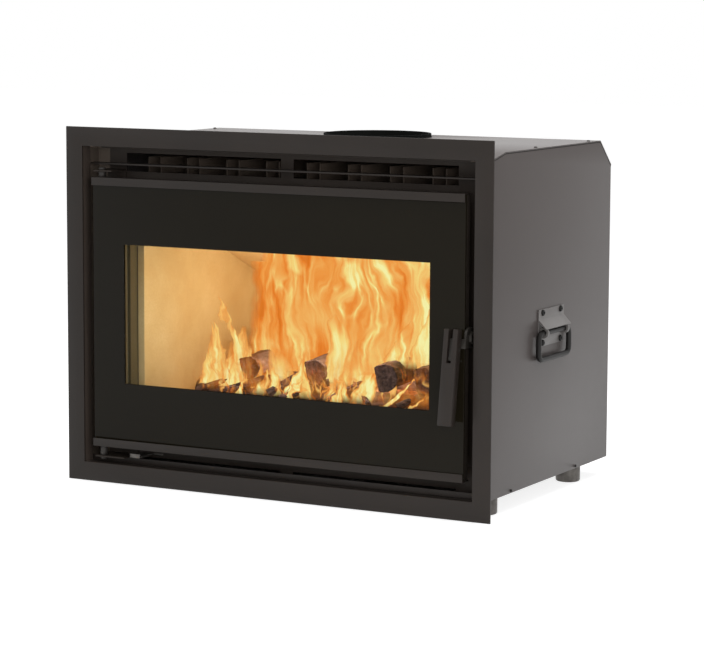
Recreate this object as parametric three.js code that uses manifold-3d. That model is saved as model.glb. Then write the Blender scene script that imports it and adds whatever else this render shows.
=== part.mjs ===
// Built-in wood fireplace: a steel firebox lined with pale boards, hung in a
// bevelled steel casing, behind a flat surround frame and a side-hung glass door.
// Millimetres. X runs to the right seen from the front, Y runs into the wall from
// the front face of the surround frame, Z runs up from the floor under the feet.
import * as THREE from "three";
import { mergeVertices } from "three/addons/utils/BufferGeometryUtils.js";
import Module from "manifold-3d";

const wasm = await Module();
wasm.setup();

// ---------------------------------------------------------------- driving sizes
const SEAM = 0.3; // gap between two pieces that lie against each other
const RUNNING_GAP = 0.4; // radial gap of a pin in its hole

// surround frame
const FRAME_WIDTH = 800;
const FRAME_HEIGHT = 604;
const FRAME_RAIL = 32.2;
const FRAME_SHEET = 1.5;
const FRAME_HEM = 14;
const FRAME_LIP_DEPTH = 26;
const FRAME_ABOVE_FLOOR = 2;

// casing
const CASING_INSET = 20;
const CASING_BELOW_FRAME = 22.5;
const CASING_REAR = 514;
const CASING_SHEET = 2;
const CASING_FLANGE = 16;
const REAR_BEVEL_DEPTH = 48.5;
const REAR_BEVEL_DROP = 43.5;
const FRONT_SLOPE_FROM = 42;
const FRONT_SLOPE_TO = 85;
const FRONT_SLOPE_DROP = 9.2;

// feet
const FOOT_HEIGHT = 30;
const FOOT_DIAMETER = 42;
const FOOT_EDGE = 3;
const FOOT_STUD_DIAMETER = 10;
const FOOT_STUD_RISE = 14;
const FOOT_INSET_X = 30;
const FOOT_FRONT_Y = 84;
const FOOT_REAR_Y = 416;

// front plate and its air slots
const PLATE_Y = 54;
const PLATE_SHEET = 2;
const PLATE_CHEEK_FROM = 10;
const PLATE_HOOD_FROM = 27;
const PLATE_HOOD_BELOW_FRAME = 2;
const SLOT_CENTRE_WEB = 24;
const SLOT_END_MARGIN = 54.8;
const OUTLET_SLOT_HEIGHT = 31;
const OUTLET_SLOT_BELOW_FRAME = 12.8;
const INLET_SLOT_HEIGHT = 8;
const INLET_SLOT_LIFT = 1.5;
const INLET_PLATE_HEIGHT = 48;

// louver bars
const LOUVER_SHEET = 3;
const LOUVER_DEPTH = 18;
const UPPER_LOUVER_BELOW_FRAME = 29;
const LOWER_LOUVER_HEIGHT = 9;

// firebox opening and door seat
const MOUTH_INSET = 57;
const MOUTH_ABOVE_DOOR_EDGE = 87;
const MOUTH_BELOW_DOOR_EDGE = 87.5;
const SEAT_FRONT_Y = 32.2;
const SEAT_SHEET = 2.5;
const SEAT_FLANGE = 16;

// firebox and lining
const HEARTH_STEP = 12;
const HEARTH_BACK_Y = 430;
const LINING = 25;
const FLOOR_LINING = 30;
const SHELL_SHEET = 4;
const SHELL_LIFT = 66;
const SHELL_BELOW_CASING = 67.5;
const HEARTH_SLOT_MARGIN = 5;
const BAFFLE_REAR_BELOW_MOUTH = 104.7;
const BAFFLE_SLOPE_DEG = 23.45;
const BAFFLE_THICKNESS = 22;
const BAFFLE_FRONT_Y = 130;
const LOG_GUARD_HEIGHT = 31;
const LOG_GUARD_THICKNESS = 12;

// grate, ash well and ash pan
const GRATE_WIDTH = 336;
const GRATE_DEPTH = 236;
const GRATE_MIDDLE_Y = 250;
const GRATE_PLATE = 14;
const GRATE_RIM = 9;
const GRATE_SLOT = 16;
const GRATE_SLOT_COUNT = 7;
const WELL_LEDGE = 11;
const WELL_DEPTH = 46;
const WELL_SHEET = 3;
const WELL_FLANGE = 12;
const PAN_GAP = 7;
const PAN_SHEET = 1.5;
const PAN_HEIGHT = 36;
const PAN_LIP = 6;

// logs of the fire: two lie across the hearth, four lie over them to the rear
const LOG_DIAMETER = 48;
const LOG_END_MARGIN = 19;
const FRONT_LOG_LEFT_MARGIN = 69;
const LOG_FRONT_Y = 130;
const LOG_REAR_Y = 372;
const CROSS_LOG_FROM_Y = [112, 108, 98, 106];
const CROSS_LOG_TO_Y = 385;
const CROSS_LOG_FRONT_X = [-108, 22, 160, 226];
const CROSS_LOG_REAR_X = [-165, -30, 112, 192];
const CROSS_LOG_DIAMETER = [44, 48, 52, 50];

// air wash channel over the mouth
const WASH_SHEET = 2;
const WASH_RISE = 26;
const WASH_REACH = 30;
const WASH_DROP = 24;

// heat fins on the firebox roof
const FIN_SHEET = 2.5;
const FIN_HEIGHT = 38;
const FIN_LENGTH = 170;
const FIN_FRONT_Y = 74;
const FIN_MARGIN = 28.8;
const FIN_PAIR_SPACING = 24;
const FIN_PAIRS = 8;

// flue collar
const FLUE_BORE = 182;
const FLUE_WALL = 3;
const FLUE_Y = 370;
const FLUE_RISE = 6;
const FLUE_FLANGE = 18;
const FLUE_FLANGE_SHEET = 3;
const FLUE_STOP = 2;
const FLUE_STOP_BELOW_RIM = 48;
const FLUE_CASING_GAP = 1.2;

// door
const DOOR_SIDE_GAP = 17.8;
const DOOR_TOP_GAP = 52.3;
const DOOR_LIFT = 28.8;
const DOOR_FRONT_Y = 1;
const DOOR_REAR_Y = 24;
const DOOR_EDGE_GAP = 2;
const DOOR_SHEET = 2.5;
const STRIP_SHEET = 2;
const STRIP_HEIGHT = 13.3;
const GLASS_Y = 5;
const GLASS_THICKNESS = 4;
const GASKET_THICKNESS = 2;
const GASKET_WIDTH = 10;
const ROPE_WIDTH = 9;
const ROPE_OFFSET = 3;

// hinges
const HINGE_INSET = 12;
const HINGE_Y = 16;
const HINGE_PIN_DIAMETER = 7;
const HINGE_PIN_IN_DOOR = 26;
const HINGE_COLLAR_DIAMETER = 13;
const HINGE_HEAD_DIAMETER = 12;
const HINGE_HEAD_HEIGHT = 4;
const HINGE_BRACKET_SHEET = 2.5;
const HINGE_TOP_GAP = 9.5;
const HINGE_TOP_INNER = 24;
const HINGE_BOTTOM_GAP = 17;
const HINGE_BOTTOM_INNER = 46;
const HINGE_BRACKET_OUTER = 12;
const HINGE_BRACKET_NOSE = 9;
const HINGE_BRACKET_LEG = 34;
const HINGE_BUSH_LENGTH = 30;
const HINGE_BUSH_WIDTH = 15;

// latch and handle
const LATCH_Y = 16;
const LATCH_HEIGHT = 294;
const LATCH_SHAFT_DIAMETER = 8;
const LATCH_SHAFT_IN_DOOR = 30;
const LATCH_BUSH_HEIGHT = 26;
const LATCH_PLATE_GAP = 1.5;
const LATCH_PLATE = 4;
const LATCH_DISC_DIAMETER = 34;
const LATCH_NUT_DIAMETER = 20;
const LATCH_NUT_HEIGHT = 5;
const HOOK_REACH = 34;
const HOOK_HEIGHT = 11;
const HOOK_TO_ROLLER = 0.6;
const ROLLER_DIAMETER = 10;
const ROLLER_Y = 44;
const KEEPER_HEIGHT = 40;
const KEEPER_DEPTH = 22;
const KEEPER_SHEET = 3;
const GRIP_WIDTH = 24;
const GRIP_DEPTH = 15;
const GRIP_LENGTH = 153;
const GRIP_EDGE = 1.5;
const GRIP_LEAN_DEG = 8.6;
const GRIP_TOP_ABOVE_LATCH = 14.5;
const GRIP_FRONT_OF_GLASS = 9.4;
const GRIP_SLOT_WIDTH = 8;
const GRIP_SLOT_LENGTH = 54;
const GRIP_PIN_DIAMETER = 5;
const TANG_DEPTH = 9;
const TANG_END_GAP = 4;
const TANG_TOP_BELOW_GRIP = 15;
const ARM_LEG = 5;
const ARM_LEG_HEIGHT = 15;

// side carrying handles
const CARRY_Y = 265.5;
const CARRY_PLATE_WIDTH = 100;
const CARRY_PLATE_BOTTOM = 257;
const CARRY_PLATE_TOP = 318;
const CARRY_SHEET = 2;
const CARRY_HOOD_BELOW_TOP = 14;
const CARRY_HOOD_REACH = 14;
const CARRY_HOOD_DROP = 16.5;
const CARRY_EAR = 5;
const CARRY_EAR_INSET = 7;
const CARRY_EAR_RADIUS = 9;
const BAIL_WIRE_DIAMETER = 9.6;
const BAIL_PIVOT_HEIGHT = 280;
const BAIL_WIDTH = 121;
const BAIL_DROP = 43.5;
const BAIL_CORNER = 13;

// air control
const AIR_BOX_WIDTH = 180;
const AIR_BOX_BEYOND_MOUTH = 7;
const AIR_BOX_DEPTH = 52;
const AIR_BOX_LIFT = 13;
const AIR_BOX_SHEET = 2;
const AIR_SLIDE_SHEET = 2.4;
const AIR_SLIDE_WIDTH = 140;
const AIR_SLIDE_HEIGHT = 20;
const AIR_TRAVEL = 20;
const AIR_PORT_WIDTH = 20;
const AIR_PORT_HEIGHT = 9;
const AIR_PORT_COUNT = 3;
const AIR_PORT_LIFT = 14;
const AIR_TAB_INSET = 16;
const AIR_TAB_WIDTH = 20;
const AIR_TAB_SHEET = 3;
const AIR_TAB_LIFT = 0.7;
const AIR_TAB_FRONT_Y = 13;
const AIR_TAB_TIP = 7;

// rails under the firebox
const SUPPORT_INSET = 48.3;
const SUPPORT_FLANGE = 26;
const SUPPORT_SHEET = 3;
const SUPPORT_FROM_Y = 128;
const SUPPORT_TO_Y = 424;

// ------------------------------------------------------------- places worked out
const OPEN_HALF = FRAME_WIDTH / 2 - FRAME_RAIL;
const OPEN_BOTTOM = FRAME_ABOVE_FLOOR + FRAME_RAIL;
const OPEN_TOP = FRAME_ABOVE_FLOOR + FRAME_HEIGHT - FRAME_RAIL;
const CASING_HALF = FRAME_WIDTH / 2 - CASING_INSET;
const CASING_BOTTOM = FOOT_HEIGHT;
const CASING_TOP = FRAME_ABOVE_FLOOR + FRAME_HEIGHT - CASING_BELOW_FRAME;
const CHEEK_INNER = OPEN_HALF + FRAME_SHEET + SEAM;
const PLATE_REAR = PLATE_Y + PLATE_SHEET;
const HOOD_TOP = OPEN_TOP - PLATE_HOOD_BELOW_FRAME;
const OUTLET_TOP = OPEN_TOP - OUTLET_SLOT_BELOW_FRAME;
const DOOR_HALF = OPEN_HALF - DOOR_SIDE_GAP;
const DOOR_BOTTOM = OPEN_BOTTOM + DOOR_LIFT;
const DOOR_TOP = OPEN_TOP - DOOR_TOP_GAP;
const MOUTH_HALF = DOOR_HALF - MOUTH_INSET;
const MOUTH_BOTTOM = DOOR_BOTTOM + MOUTH_ABOVE_DOOR_EDGE;
const MOUTH_TOP = DOOR_TOP - MOUTH_BELOW_DOOR_EDGE;
const HEARTH_HALF = MOUTH_HALF - HEARTH_STEP;
const SHELL_BOTTOM = CASING_BOTTOM + SHELL_LIFT;
const SHELL_TOP = CASING_TOP - SHELL_BELOW_CASING;
const BAFFLE_REAR_HEIGHT = MOUTH_TOP - BAFFLE_REAR_BELOW_MOUTH;
const SHELL_FRONT = PLATE_REAR + SEAM;
const SHELL_HALF = HEARTH_HALF + LINING + SEAM + SHELL_SHEET;
const SHELL_BACK = HEARTH_BACK_Y + LINING + SEAM + SHELL_SHEET;
const SHELL_FLOOR = SHELL_BOTTOM + SHELL_SHEET;
const HEARTH_FLOOR = SHELL_FLOOR + SEAM + FLOOR_LINING;
const GLASS_REAR = GLASS_Y + GLASS_THICKNESS;
const DOOR_FRAME_Y = GLASS_REAR + SEAM + GASKET_THICKNESS + SEAM;
const DOOR_FRAME_HALF = DOOR_HALF - DOOR_EDGE_GAP;
const DOOR_FRAME_BOTTOM = DOOR_BOTTOM + STRIP_SHEET + SEAM;
const DOOR_FRAME_TOP = DOOR_TOP - STRIP_SHEET - SEAM;
const HINGE_X = -DOOR_HALF + HINGE_INSET;
const BAIL_RADIUS = BAIL_WIRE_DIAMETER / 2;
const CARRY_FACE = CASING_HALF + SEAM + CARRY_SHEET;
const CARRY_HOOD_TOP = CARRY_PLATE_TOP - CARRY_HOOD_BELOW_TOP;
const BAIL_X = CARRY_FACE + SEAM + BAIL_RADIUS;
const LEAN = THREE.MathUtils.degToRad(GRIP_LEAN_DEG);
const GRIP_X = DOOR_HALF - GRIP_WIDTH / 2;
const GRIP_REAR_Y = GLASS_Y - GRIP_FRONT_OF_GLASS;
const GRIP_TOP = LATCH_HEIGHT + GRIP_TOP_ABOVE_LATCH;
const LATCH_PLATE_X = DOOR_HALF + LATCH_PLATE_GAP;
const AIR_BOX_LEFT = -MOUTH_HALF - AIR_BOX_BEYOND_MOUTH;
const AIR_BOX_RIGHT = AIR_BOX_LEFT + AIR_BOX_WIDTH;
const AIR_BOX_MIDDLE_X = (AIR_BOX_LEFT + AIR_BOX_RIGHT) / 2;
const AIR_BOX_BOTTOM = CASING_BOTTOM + AIR_BOX_LIFT;
const AIR_TAB_X = AIR_BOX_LEFT + AIR_TAB_INSET;
const AIR_LANE_BOTTOM = AIR_BOX_BOTTOM + AIR_BOX_SHEET + SEAM;
const AIR_LANE_TOP = AIR_LANE_BOTTOM + AIR_SLIDE_HEIGHT;
const AIR_PORT_Z = AIR_LANE_BOTTOM + AIR_PORT_LIFT;
const AIR_TAB_Z = [AIR_LANE_BOTTOM + AIR_TAB_LIFT, AIR_LANE_BOTTOM + AIR_TAB_LIFT + AIR_TAB_SHEET];

// Deepest point in front of the wall: the lower front edge of the leaning grip.
const FRONT_MOST = GRIP_REAR_Y - GRIP_DEPTH * Math.cos(LEAN) - GRIP_LENGTH * Math.sin(LEAN);

// ------------------------------------------------------------------ shape helpers
function solidOf(geometry) {
  const bare = geometry.clone();
  bare.deleteAttribute("normal");
  bare.deleteAttribute("uv");
  const merged = mergeVertices(bare, 1e-4);
  const mesh = new wasm.Mesh({
    numProp: 3,
    vertProperties: new Float32Array(merged.attributes.position.array),
    triVerts: new Uint32Array(merged.index.array),
  });
  return new wasm.Manifold(mesh);
}

function geometryOf(solid) {
  const mesh = solid.getMesh();
  const geometry = new THREE.BufferGeometry();
  geometry.setAttribute("position", new THREE.BufferAttribute(mesh.vertProperties, 3));
  geometry.setIndex(new THREE.BufferAttribute(mesh.triVerts, 1));
  geometry.computeVertexNormals();
  return geometry;
}

function join(...geometries) {
  return geometryOf(geometries.map(solidOf).reduce((a, b) => a.add(b)));
}

function cut(body, ...tools) {
  return geometryOf(tools.map(solidOf).reduce((a, b) => a.subtract(b), solidOf(body)));
}

// A block between two limits on each axis.
function block([x0, x1], [y0, y1], [z0, z1]) {
  const geometry = new THREE.BoxGeometry(x1 - x0, y1 - y0, z1 - z0);
  return geometry.translate((x0 + x1) / 2, (y0 + y1) / 2, (z0 + z1) / 2);
}

// A round bar from one limit to the other along an axis, through a point.
function bar(axis, [from, to], diameter, [x, y, z], sides = 24) {
  const geometry = new THREE.CylinderGeometry(diameter / 2, diameter / 2, to - from, sides);
  const middle = (from + to) / 2;
  if (axis === "x") return geometry.rotateZ(Math.PI / 2).translate(middle, y, z);
  if (axis === "y") return geometry.translate(x, middle, z);
  return geometry.rotateX(Math.PI / 2).translate(x, y, middle);
}

// A turned piece: radius and height pairs, closed on themselves or on the axis.
function turned(profile, [x, y], sides = 48) {
  const points = profile.map(([r, z]) => new THREE.Vector2(r, z));
  return new THREE.LatheGeometry(points, sides).rotateX(Math.PI / 2).translate(x, y, 0);
}

// An outline in the Y-Z plane, drawn out along X between two limits.
function drawnAlongX(outline, [x0, x1]) {
  const shape = new THREE.Shape(outline.map(([y, z]) => new THREE.Vector2(y, z)));
  const geometry = new THREE.ExtrudeGeometry(shape, { depth: x1 - x0, bevelEnabled: false });
  const turn = new THREE.Matrix4().set(0, 0, 1, x0, 1, 0, 0, 0, 0, 1, 0, 0, 0, 0, 0, 1);
  return geometry.applyMatrix4(turn);
}

// An outline in the X-Z plane, drawn out along Y between two limits.
function drawnAlongY(outline, [y0, y1]) {
  const shape = new THREE.Shape(outline.map(([x, z]) => new THREE.Vector2(x, z)));
  const geometry = new THREE.ExtrudeGeometry(shape, { depth: y1 - y0, bevelEnabled: false });
  return geometry.rotateX(Math.PI / 2).translate(0, y1, 0);
}

// The outline of a folded sheet: a run of points, given thickness on its left side.
function folded(points, sheet) {
  const directions = points.slice(1).map(([a, b], i) => {
    const run = new THREE.Vector2(a - points[i][0], b - points[i][1]);
    return run.normalize();
  });
  const inner = points.map(([a, b], i) => {
    const before = directions[Math.max(i - 1, 0)];
    const after = directions[Math.min(i, directions.length - 1)];
    const normal = new THREE.Vector2(-before.y - after.y, before.x + after.x);
    const mitre = normal.lengthSq() / 2;
    return [a + (normal.x * sheet) / mitre, b + (normal.y * sheet) / mitre];
  });
  return [...points, ...inner.reverse()];
}

// A rectangular ring in the X-Z plane between an inner and an outer rectangle.
function ring([x0, x1], [z0, z1], [inset, outset], [y0, y1]) {
  const outer = block([x0 - outset, x1 + outset], [y0, y1], [z0 - outset, z1 + outset]);
  const hole = block([x0 + inset, x1 - inset], [y0 - 1, y1 + 1], [z0 + inset, z1 - inset]);
  return cut(outer, hole);
}

function mirrored(geometry) {
  return geometryOf(solidOf(geometry).mirror([1, 0, 0]));
}

// --------------------------------------------------------------------- materials
function finish(color, roughness, metalness) {
  return new THREE.MeshStandardMaterial({ color, roughness, metalness });
}
const trimPaint = finish(0x38332f, 0.55, 0.2);
const casingPaint = finish(0x696563, 0.5, 0.3);
const darkSteel = finish(0x2a2724, 0.6, 0.4);
const blackPaint = finish(0x1c1a18, 0.45, 0.3);
const greySteel = finish(0x8c8985, 0.4, 0.7);
const castIron = finish(0x2b2928, 0.75, 0.5);
const liningBoard = finish(0xe1b878, 0.95, 0);
const charredWood = finish(0x3f2d22, 0.9, 0);
const ceramicRope = finish(0xb9b4a8, 0.95, 0);
const blackGlass = new THREE.MeshStandardMaterial({
  color: 0x191714,
  roughness: 0.05,
  metalness: 0,
  transparent: true,
  opacity: 0.5,
});

// ---------------------------------------------------------------- surround frame
// Flat frame of sheet: hemmed round its outer edge, where it lies on the wall, and
// folded back to a lip round its opening.
function surroundFrame() {
  const half = FRAME_WIDTH / 2;
  const z = [FRAME_ABOVE_FLOOR, FRAME_ABOVE_FLOOR + FRAME_HEIGHT];
  const rails = cut(
    block([-half, half], [0, FRAME_SHEET], z),
    block([-OPEN_HALF, OPEN_HALF], [-1, FRAME_SHEET + 1], [OPEN_BOTTOM, OPEN_TOP]),
  );
  const hem = ring([-half, half], z, [FRAME_HEM, 0], [FRAME_SHEET / 2, 2 * FRAME_SHEET]);
  const lip = ring(
    [-OPEN_HALF, OPEN_HALF],
    [OPEN_BOTTOM, OPEN_TOP],
    [0, FRAME_SHEET],
    [FRAME_SHEET / 2, FRAME_LIP_DEPTH],
  );
  return join(rails, hem, lip);
}

// ------------------------------------------------------------------------ casing
// Top edge of the casing seen from the side, from front to rear.
const ROOF_LINE = [
  [FRONT_SLOPE_FROM, CASING_TOP - FRONT_SLOPE_DROP],
  [FRONT_SLOPE_TO, CASING_TOP],
  [CASING_REAR - REAR_BEVEL_DEPTH, CASING_TOP],
  [CASING_REAR, CASING_TOP - REAR_BEVEL_DROP],
];

// The same line moved down below the roof sheet.
function belowRoof(drop) {
  return folded([...ROOF_LINE].reverse(), drop).slice(ROOF_LINE.length);
}

// Height of the underside of the front slope of the roof at a depth.
function frontSlopeUnderside(y) {
  const rise = FRONT_SLOPE_DROP / (FRONT_SLOPE_TO - FRONT_SLOPE_FROM);
  const drop = CASING_SHEET * Math.hypot(1, rise);
  return CASING_TOP - (FRONT_SLOPE_TO - y) * rise - drop;
}

// Roof sheet with its two folds and the hole for the flue collar.
function topPanel() {
  const sheet = drawnAlongX(
    folded([...ROOF_LINE].reverse(), CASING_SHEET),
    [-CASING_HALF, CASING_HALF],
  );
  const holeDiameter = FLUE_BORE + 2 * FLUE_WALL + 2 * FLUE_CASING_GAP;
  const hole = bar("z", [CASING_TOP - 20, CASING_TOP + 20], holeDiameter, [0, FLUE_Y, 0], 48);
  return cut(sheet, hole);
}

// Right side sheet, with the flange along its top that carries the roof.
function sidePanel() {
  const under = belowRoof(CASING_SHEET + SEAM);
  const front = FRAME_SHEET + SEAM;
  const web = drawnAlongX(
    [[front, CASING_BOTTOM], [front, under[0][1]], ...under, [CASING_REAR, CASING_BOTTOM]],
    [CASING_HALF - CASING_SHEET, CASING_HALF],
  );
  const flange = drawnAlongX(
    folded([...under].reverse(), CASING_SHEET),
    [CASING_HALF - CASING_FLANGE, CASING_HALF - CASING_SHEET / 2],
  );
  const plateRoom = block(
    [CASING_HALF - 2 * CASING_FLANGE, CASING_HALF - CASING_SHEET],
    [0, PLATE_REAR + SEAM],
    [CASING_BOTTOM, CASING_TOP],
  );
  return join(web, cut(flange, plateRoom));
}

// Rear sheet between the side sheets, with small flanges at its vertical edges.
function backPanel() {
  const half = CASING_HALF - CASING_SHEET - SEAM;
  const bottom = CASING_BOTTOM + CASING_SHEET + SEAM;
  const bevel = Math.atan2(REAR_BEVEL_DROP, REAR_BEVEL_DEPTH);
  const top = CASING_TOP - REAR_BEVEL_DROP - CASING_SHEET / Math.cos(bevel) - SEAM;
  const y1 = CASING_REAR;
  const y0 = y1 - CASING_SHEET;
  const web = block([-half, half], [y0, y1], [bottom, top]);
  const flangeX = [half - CASING_SHEET, half];
  const flangeZ = [bottom, top - CASING_FLANGE];
  const flange = block(flangeX, [y0 - CASING_FLANGE, y0 + CASING_SHEET / 2], flangeZ);
  return join(web, flange, mirrored(flange));
}

function footPlaces() {
  const half = CASING_HALF - FOOT_INSET_X;
  return [
    ["front_left", -half, FOOT_FRONT_Y],
    ["front_right", half, FOOT_FRONT_Y],
    ["rear_left", -half, FOOT_REAR_Y],
    ["rear_right", half, FOOT_REAR_Y],
  ];
}

// Floor sheet of the casing, drilled for the studs of the feet.
function basePanel() {
  const half = CASING_HALF - CASING_SHEET - SEAM;
  const z = [CASING_BOTTOM, CASING_BOTTOM + CASING_SHEET];
  const sheet = block([-half, half], [FRAME_LIP_DEPTH + SEAM, CASING_REAR], z);
  const hole = FOOT_STUD_DIAMETER + 2 * RUNNING_GAP;
  const holes = footPlaces().map(([, x, y]) => bar("z", [z[0] - 1, z[1] + 1], hole, [x, y, 0]));
  return cut(sheet, ...holes);
}

// Levelling foot: a turned barrel with its stud.
function foot(x, y) {
  const barrel = FOOT_DIAMETER / 2;
  const shoulder = FOOT_HEIGHT - SEAM;
  const stud = FOOT_STUD_DIAMETER / 2;
  const studTop = FOOT_HEIGHT + CASING_SHEET + FOOT_STUD_RISE;
  return turned(
    [
      [0, 0],
      [barrel - FOOT_EDGE, 0],
      [barrel - FOOT_EDGE * 0.3, FOOT_EDGE * 0.3],
      [barrel, FOOT_EDGE],
      [barrel, shoulder],
      [stud, shoulder],
      [stud, studTop - 1],
      [stud - 1, studTop],
      [0, studTop],
    ],
    [x, y],
    32,
  );
}

// ------------------------------------------------------------------- front plate
function slots(height, bottom) {
  const right = block(
    [SLOT_CENTRE_WEB / 2, OPEN_HALF - SLOT_END_MARGIN],
    [PLATE_Y - 1, PLATE_REAR + 1],
    [bottom, bottom + height],
  );
  return [right, mirrored(right)];
}

function airPorts(middleX, y0, y1) {
  return Array.from({ length: AIR_PORT_COUNT }, (_, i) => {
    const x = middleX + (i - (AIR_PORT_COUNT - 1) / 2) * 2 * AIR_PORT_WIDTH;
    return block(
      [x - AIR_PORT_WIDTH / 2, x + AIR_PORT_WIDTH / 2],
      [y0, y1],
      [AIR_PORT_Z - AIR_PORT_HEIGHT / 2, AIR_PORT_Z + AIR_PORT_HEIGHT / 2],
    );
  });
}

const INLET_PLATE_BOTTOM = CASING_BOTTOM + CASING_SHEET + SEAM;
const INLET_PLATE_TOP = INLET_PLATE_BOTTOM + INLET_PLATE_HEIGHT;

// Plate behind the door: the firebox mouth, warm air slots above it, a hood over
// them, and cheeks that reach forward to the lip of the surround frame.
function frontPlate() {
  const outer = CHEEK_INNER + PLATE_SHEET;
  const bottom = INLET_PLATE_TOP + SEAM;
  const top = frontSlopeUnderside(PLATE_Y) - SEAM;
  const sheet = block([-outer, outer], [PLATE_Y, PLATE_REAR], [bottom, top]);
  const cheek = block(
    [CHEEK_INNER, outer],
    [PLATE_CHEEK_FROM, PLATE_Y + 1],
    [OPEN_BOTTOM, HOOD_TOP],
  );
  const hood = block(
    [-outer, outer],
    [PLATE_HOOD_FROM, PLATE_Y + 1],
    [HOOD_TOP - PLATE_SHEET, HOOD_TOP],
  );
  const mouth = block(
    [-MOUTH_HALF, MOUTH_HALF],
    [PLATE_Y - 1, PLATE_REAR + 1],
    [MOUTH_BOTTOM, MOUTH_TOP],
  );
  return cut(
    join(sheet, cheek, mirrored(cheek), hood),
    mouth,
    ...slots(OUTLET_SLOT_HEIGHT, OUTLET_TOP - OUTLET_SLOT_HEIGHT),
  );
}

// Strip under the front plate with the cold air slots, the ports of the air slide
// and the slot for its tab.
function inletPlate() {
  const sheet = block(
    [-CHEEK_INNER + SEAM, CHEEK_INNER - SEAM],
    [PLATE_Y, PLATE_REAR],
    [INLET_PLATE_BOTTOM, INLET_PLATE_TOP],
  );
  const tabSlot = block(
    [AIR_TAB_X - 1, AIR_TAB_X + AIR_TAB_WIDTH + AIR_TRAVEL + 1],
    [PLATE_Y - 1, PLATE_REAR + 1],
    [AIR_TAB_Z[0] - SEAM, AIR_TAB_Z[1] + SEAM],
  );
  return cut(
    sheet,
    tabSlot,
    ...slots(INLET_SLOT_HEIGHT, INLET_PLATE_BOTTOM + INLET_SLOT_LIFT),
    ...airPorts(AIR_BOX_MIDDLE_X, PLATE_Y - 1, PLATE_REAR + 1),
  );
}

// Flat bar across the warm air gap above the door.
function upperLouver() {
  const top = OPEN_TOP - UPPER_LOUVER_BELOW_FRAME;
  const half = CHEEK_INNER - SEAM;
  const y0 = FRAME_LIP_DEPTH + SEAM;
  return block([-half, half], [y0, y0 + LOUVER_DEPTH], [top - LOUVER_SHEET, top]);
}

// Angle bar that stands up behind the lower rail of the surround frame.
function lowerLouver() {
  const half = CHEEK_INNER - SEAM;
  const y0 = FRAME_LIP_DEPTH + SEAM;
  const bottom = CASING_BOTTOM + CASING_SHEET + SEAM;
  const outline = folded(
    [
      [y0, OPEN_BOTTOM + LOWER_LOUVER_HEIGHT],
      [y0, bottom],
      [y0 + LOUVER_DEPTH, bottom],
    ],
    CASING_SHEET,
  );
  return drawnAlongX(outline, [-half, half]);
}

// --------------------------------------------------------------- firebox and air
// Welded rim round the mouth, on which the rope of the door closes.
function doorSeat() {
  const x = [-MOUTH_HALF, MOUTH_HALF];
  const z = [MOUTH_BOTTOM, MOUTH_TOP];
  const wall = ring(x, z, [0, SEAT_SHEET], [SEAT_FRONT_Y, PLATE_Y - SEAM]);
  const flange = ring(x, z, [0, SEAT_FLANGE], [SEAT_FRONT_Y, SEAT_FRONT_Y + SEAT_SHEET]);
  return join(wall, flange);
}

// Size of the hole in the firebox floor, under the grate.
const WELL_HALF = GRATE_WIDTH / 2 - WELL_LEDGE;
const WELL_Y = [
  GRATE_MIDDLE_Y - GRATE_DEPTH / 2 + WELL_LEDGE,
  GRATE_MIDDLE_Y + GRATE_DEPTH / 2 - WELL_LEDGE,
];
const WELL_BOTTOM = SHELL_BOTTOM - WELL_DEPTH;

// Welded steel box, open at the front, with the flue hole, the window over the ash
// well and the hole over the air box.
function fireboxShell() {
  const box = block([-SHELL_HALF, SHELL_HALF], [SHELL_FRONT, SHELL_BACK], [SHELL_BOTTOM, SHELL_TOP]);
  const inside = block(
    [-SHELL_HALF + SHELL_SHEET, SHELL_HALF - SHELL_SHEET],
    [SHELL_FRONT - 1, SHELL_BACK - SHELL_SHEET],
    [SHELL_FLOOR, SHELL_TOP - SHELL_SHEET],
  );
  const wellWindow = block([-WELL_HALF, WELL_HALF], WELL_Y, [SHELL_BOTTOM - 1, SHELL_FLOOR + 1]);
  const flueHole = bar(
    "z",
    [SHELL_TOP - 2 * SHELL_SHEET, SHELL_TOP + 1],
    FLUE_BORE + 2 * FLUE_WALL + 2 * SEAM,
    [0, FLUE_Y, 0],
    48,
  );
  const airHole = block(
    [AIR_BOX_LEFT + 2 * AIR_BOX_SHEET, AIR_BOX_RIGHT - 2 * AIR_BOX_SHEET],
    [SHELL_FRONT + 2 * AIR_BOX_SHEET, SHELL_FRONT + AIR_BOX_DEPTH - 2 * AIR_BOX_SHEET],
    [SHELL_BOTTOM - 1, SHELL_FLOOR + 1],
  );
  return cut(box, inside, wellWindow, flueHole, airHole);
}

// Folded trough for the ash pan, with a flange welded under the firebox floor.
function ashWell() {
  const reach = (out) => [
    [-WELL_HALF - out, WELL_HALF + out],
    [WELL_Y[0] - out, WELL_Y[1] + out],
  ];
  const top = SHELL_BOTTOM - SEAM;
  const trough = block(...reach(WELL_SHEET), [WELL_BOTTOM - WELL_SHEET, top]);
  const flange = block(...reach(WELL_SHEET + WELL_FLANGE), [top - WELL_SHEET, top]);
  return cut(join(trough, flange), block(...reach(0), [WELL_BOTTOM, top + 1]));
}

// Height of the underside of the baffle at a depth.
const BAFFLE_RISE = Math.tan(THREE.MathUtils.degToRad(BAFFLE_SLOPE_DEG));
function baffleUnderside(y) {
  return BAFFLE_REAR_HEIGHT + (HEARTH_BACK_Y - y) * BAFFLE_RISE;
}

const LINING_FRONT = SHELL_FRONT + SEAM;
const LINING_BACK = SHELL_BACK - SHELL_SHEET - SEAM;

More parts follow.
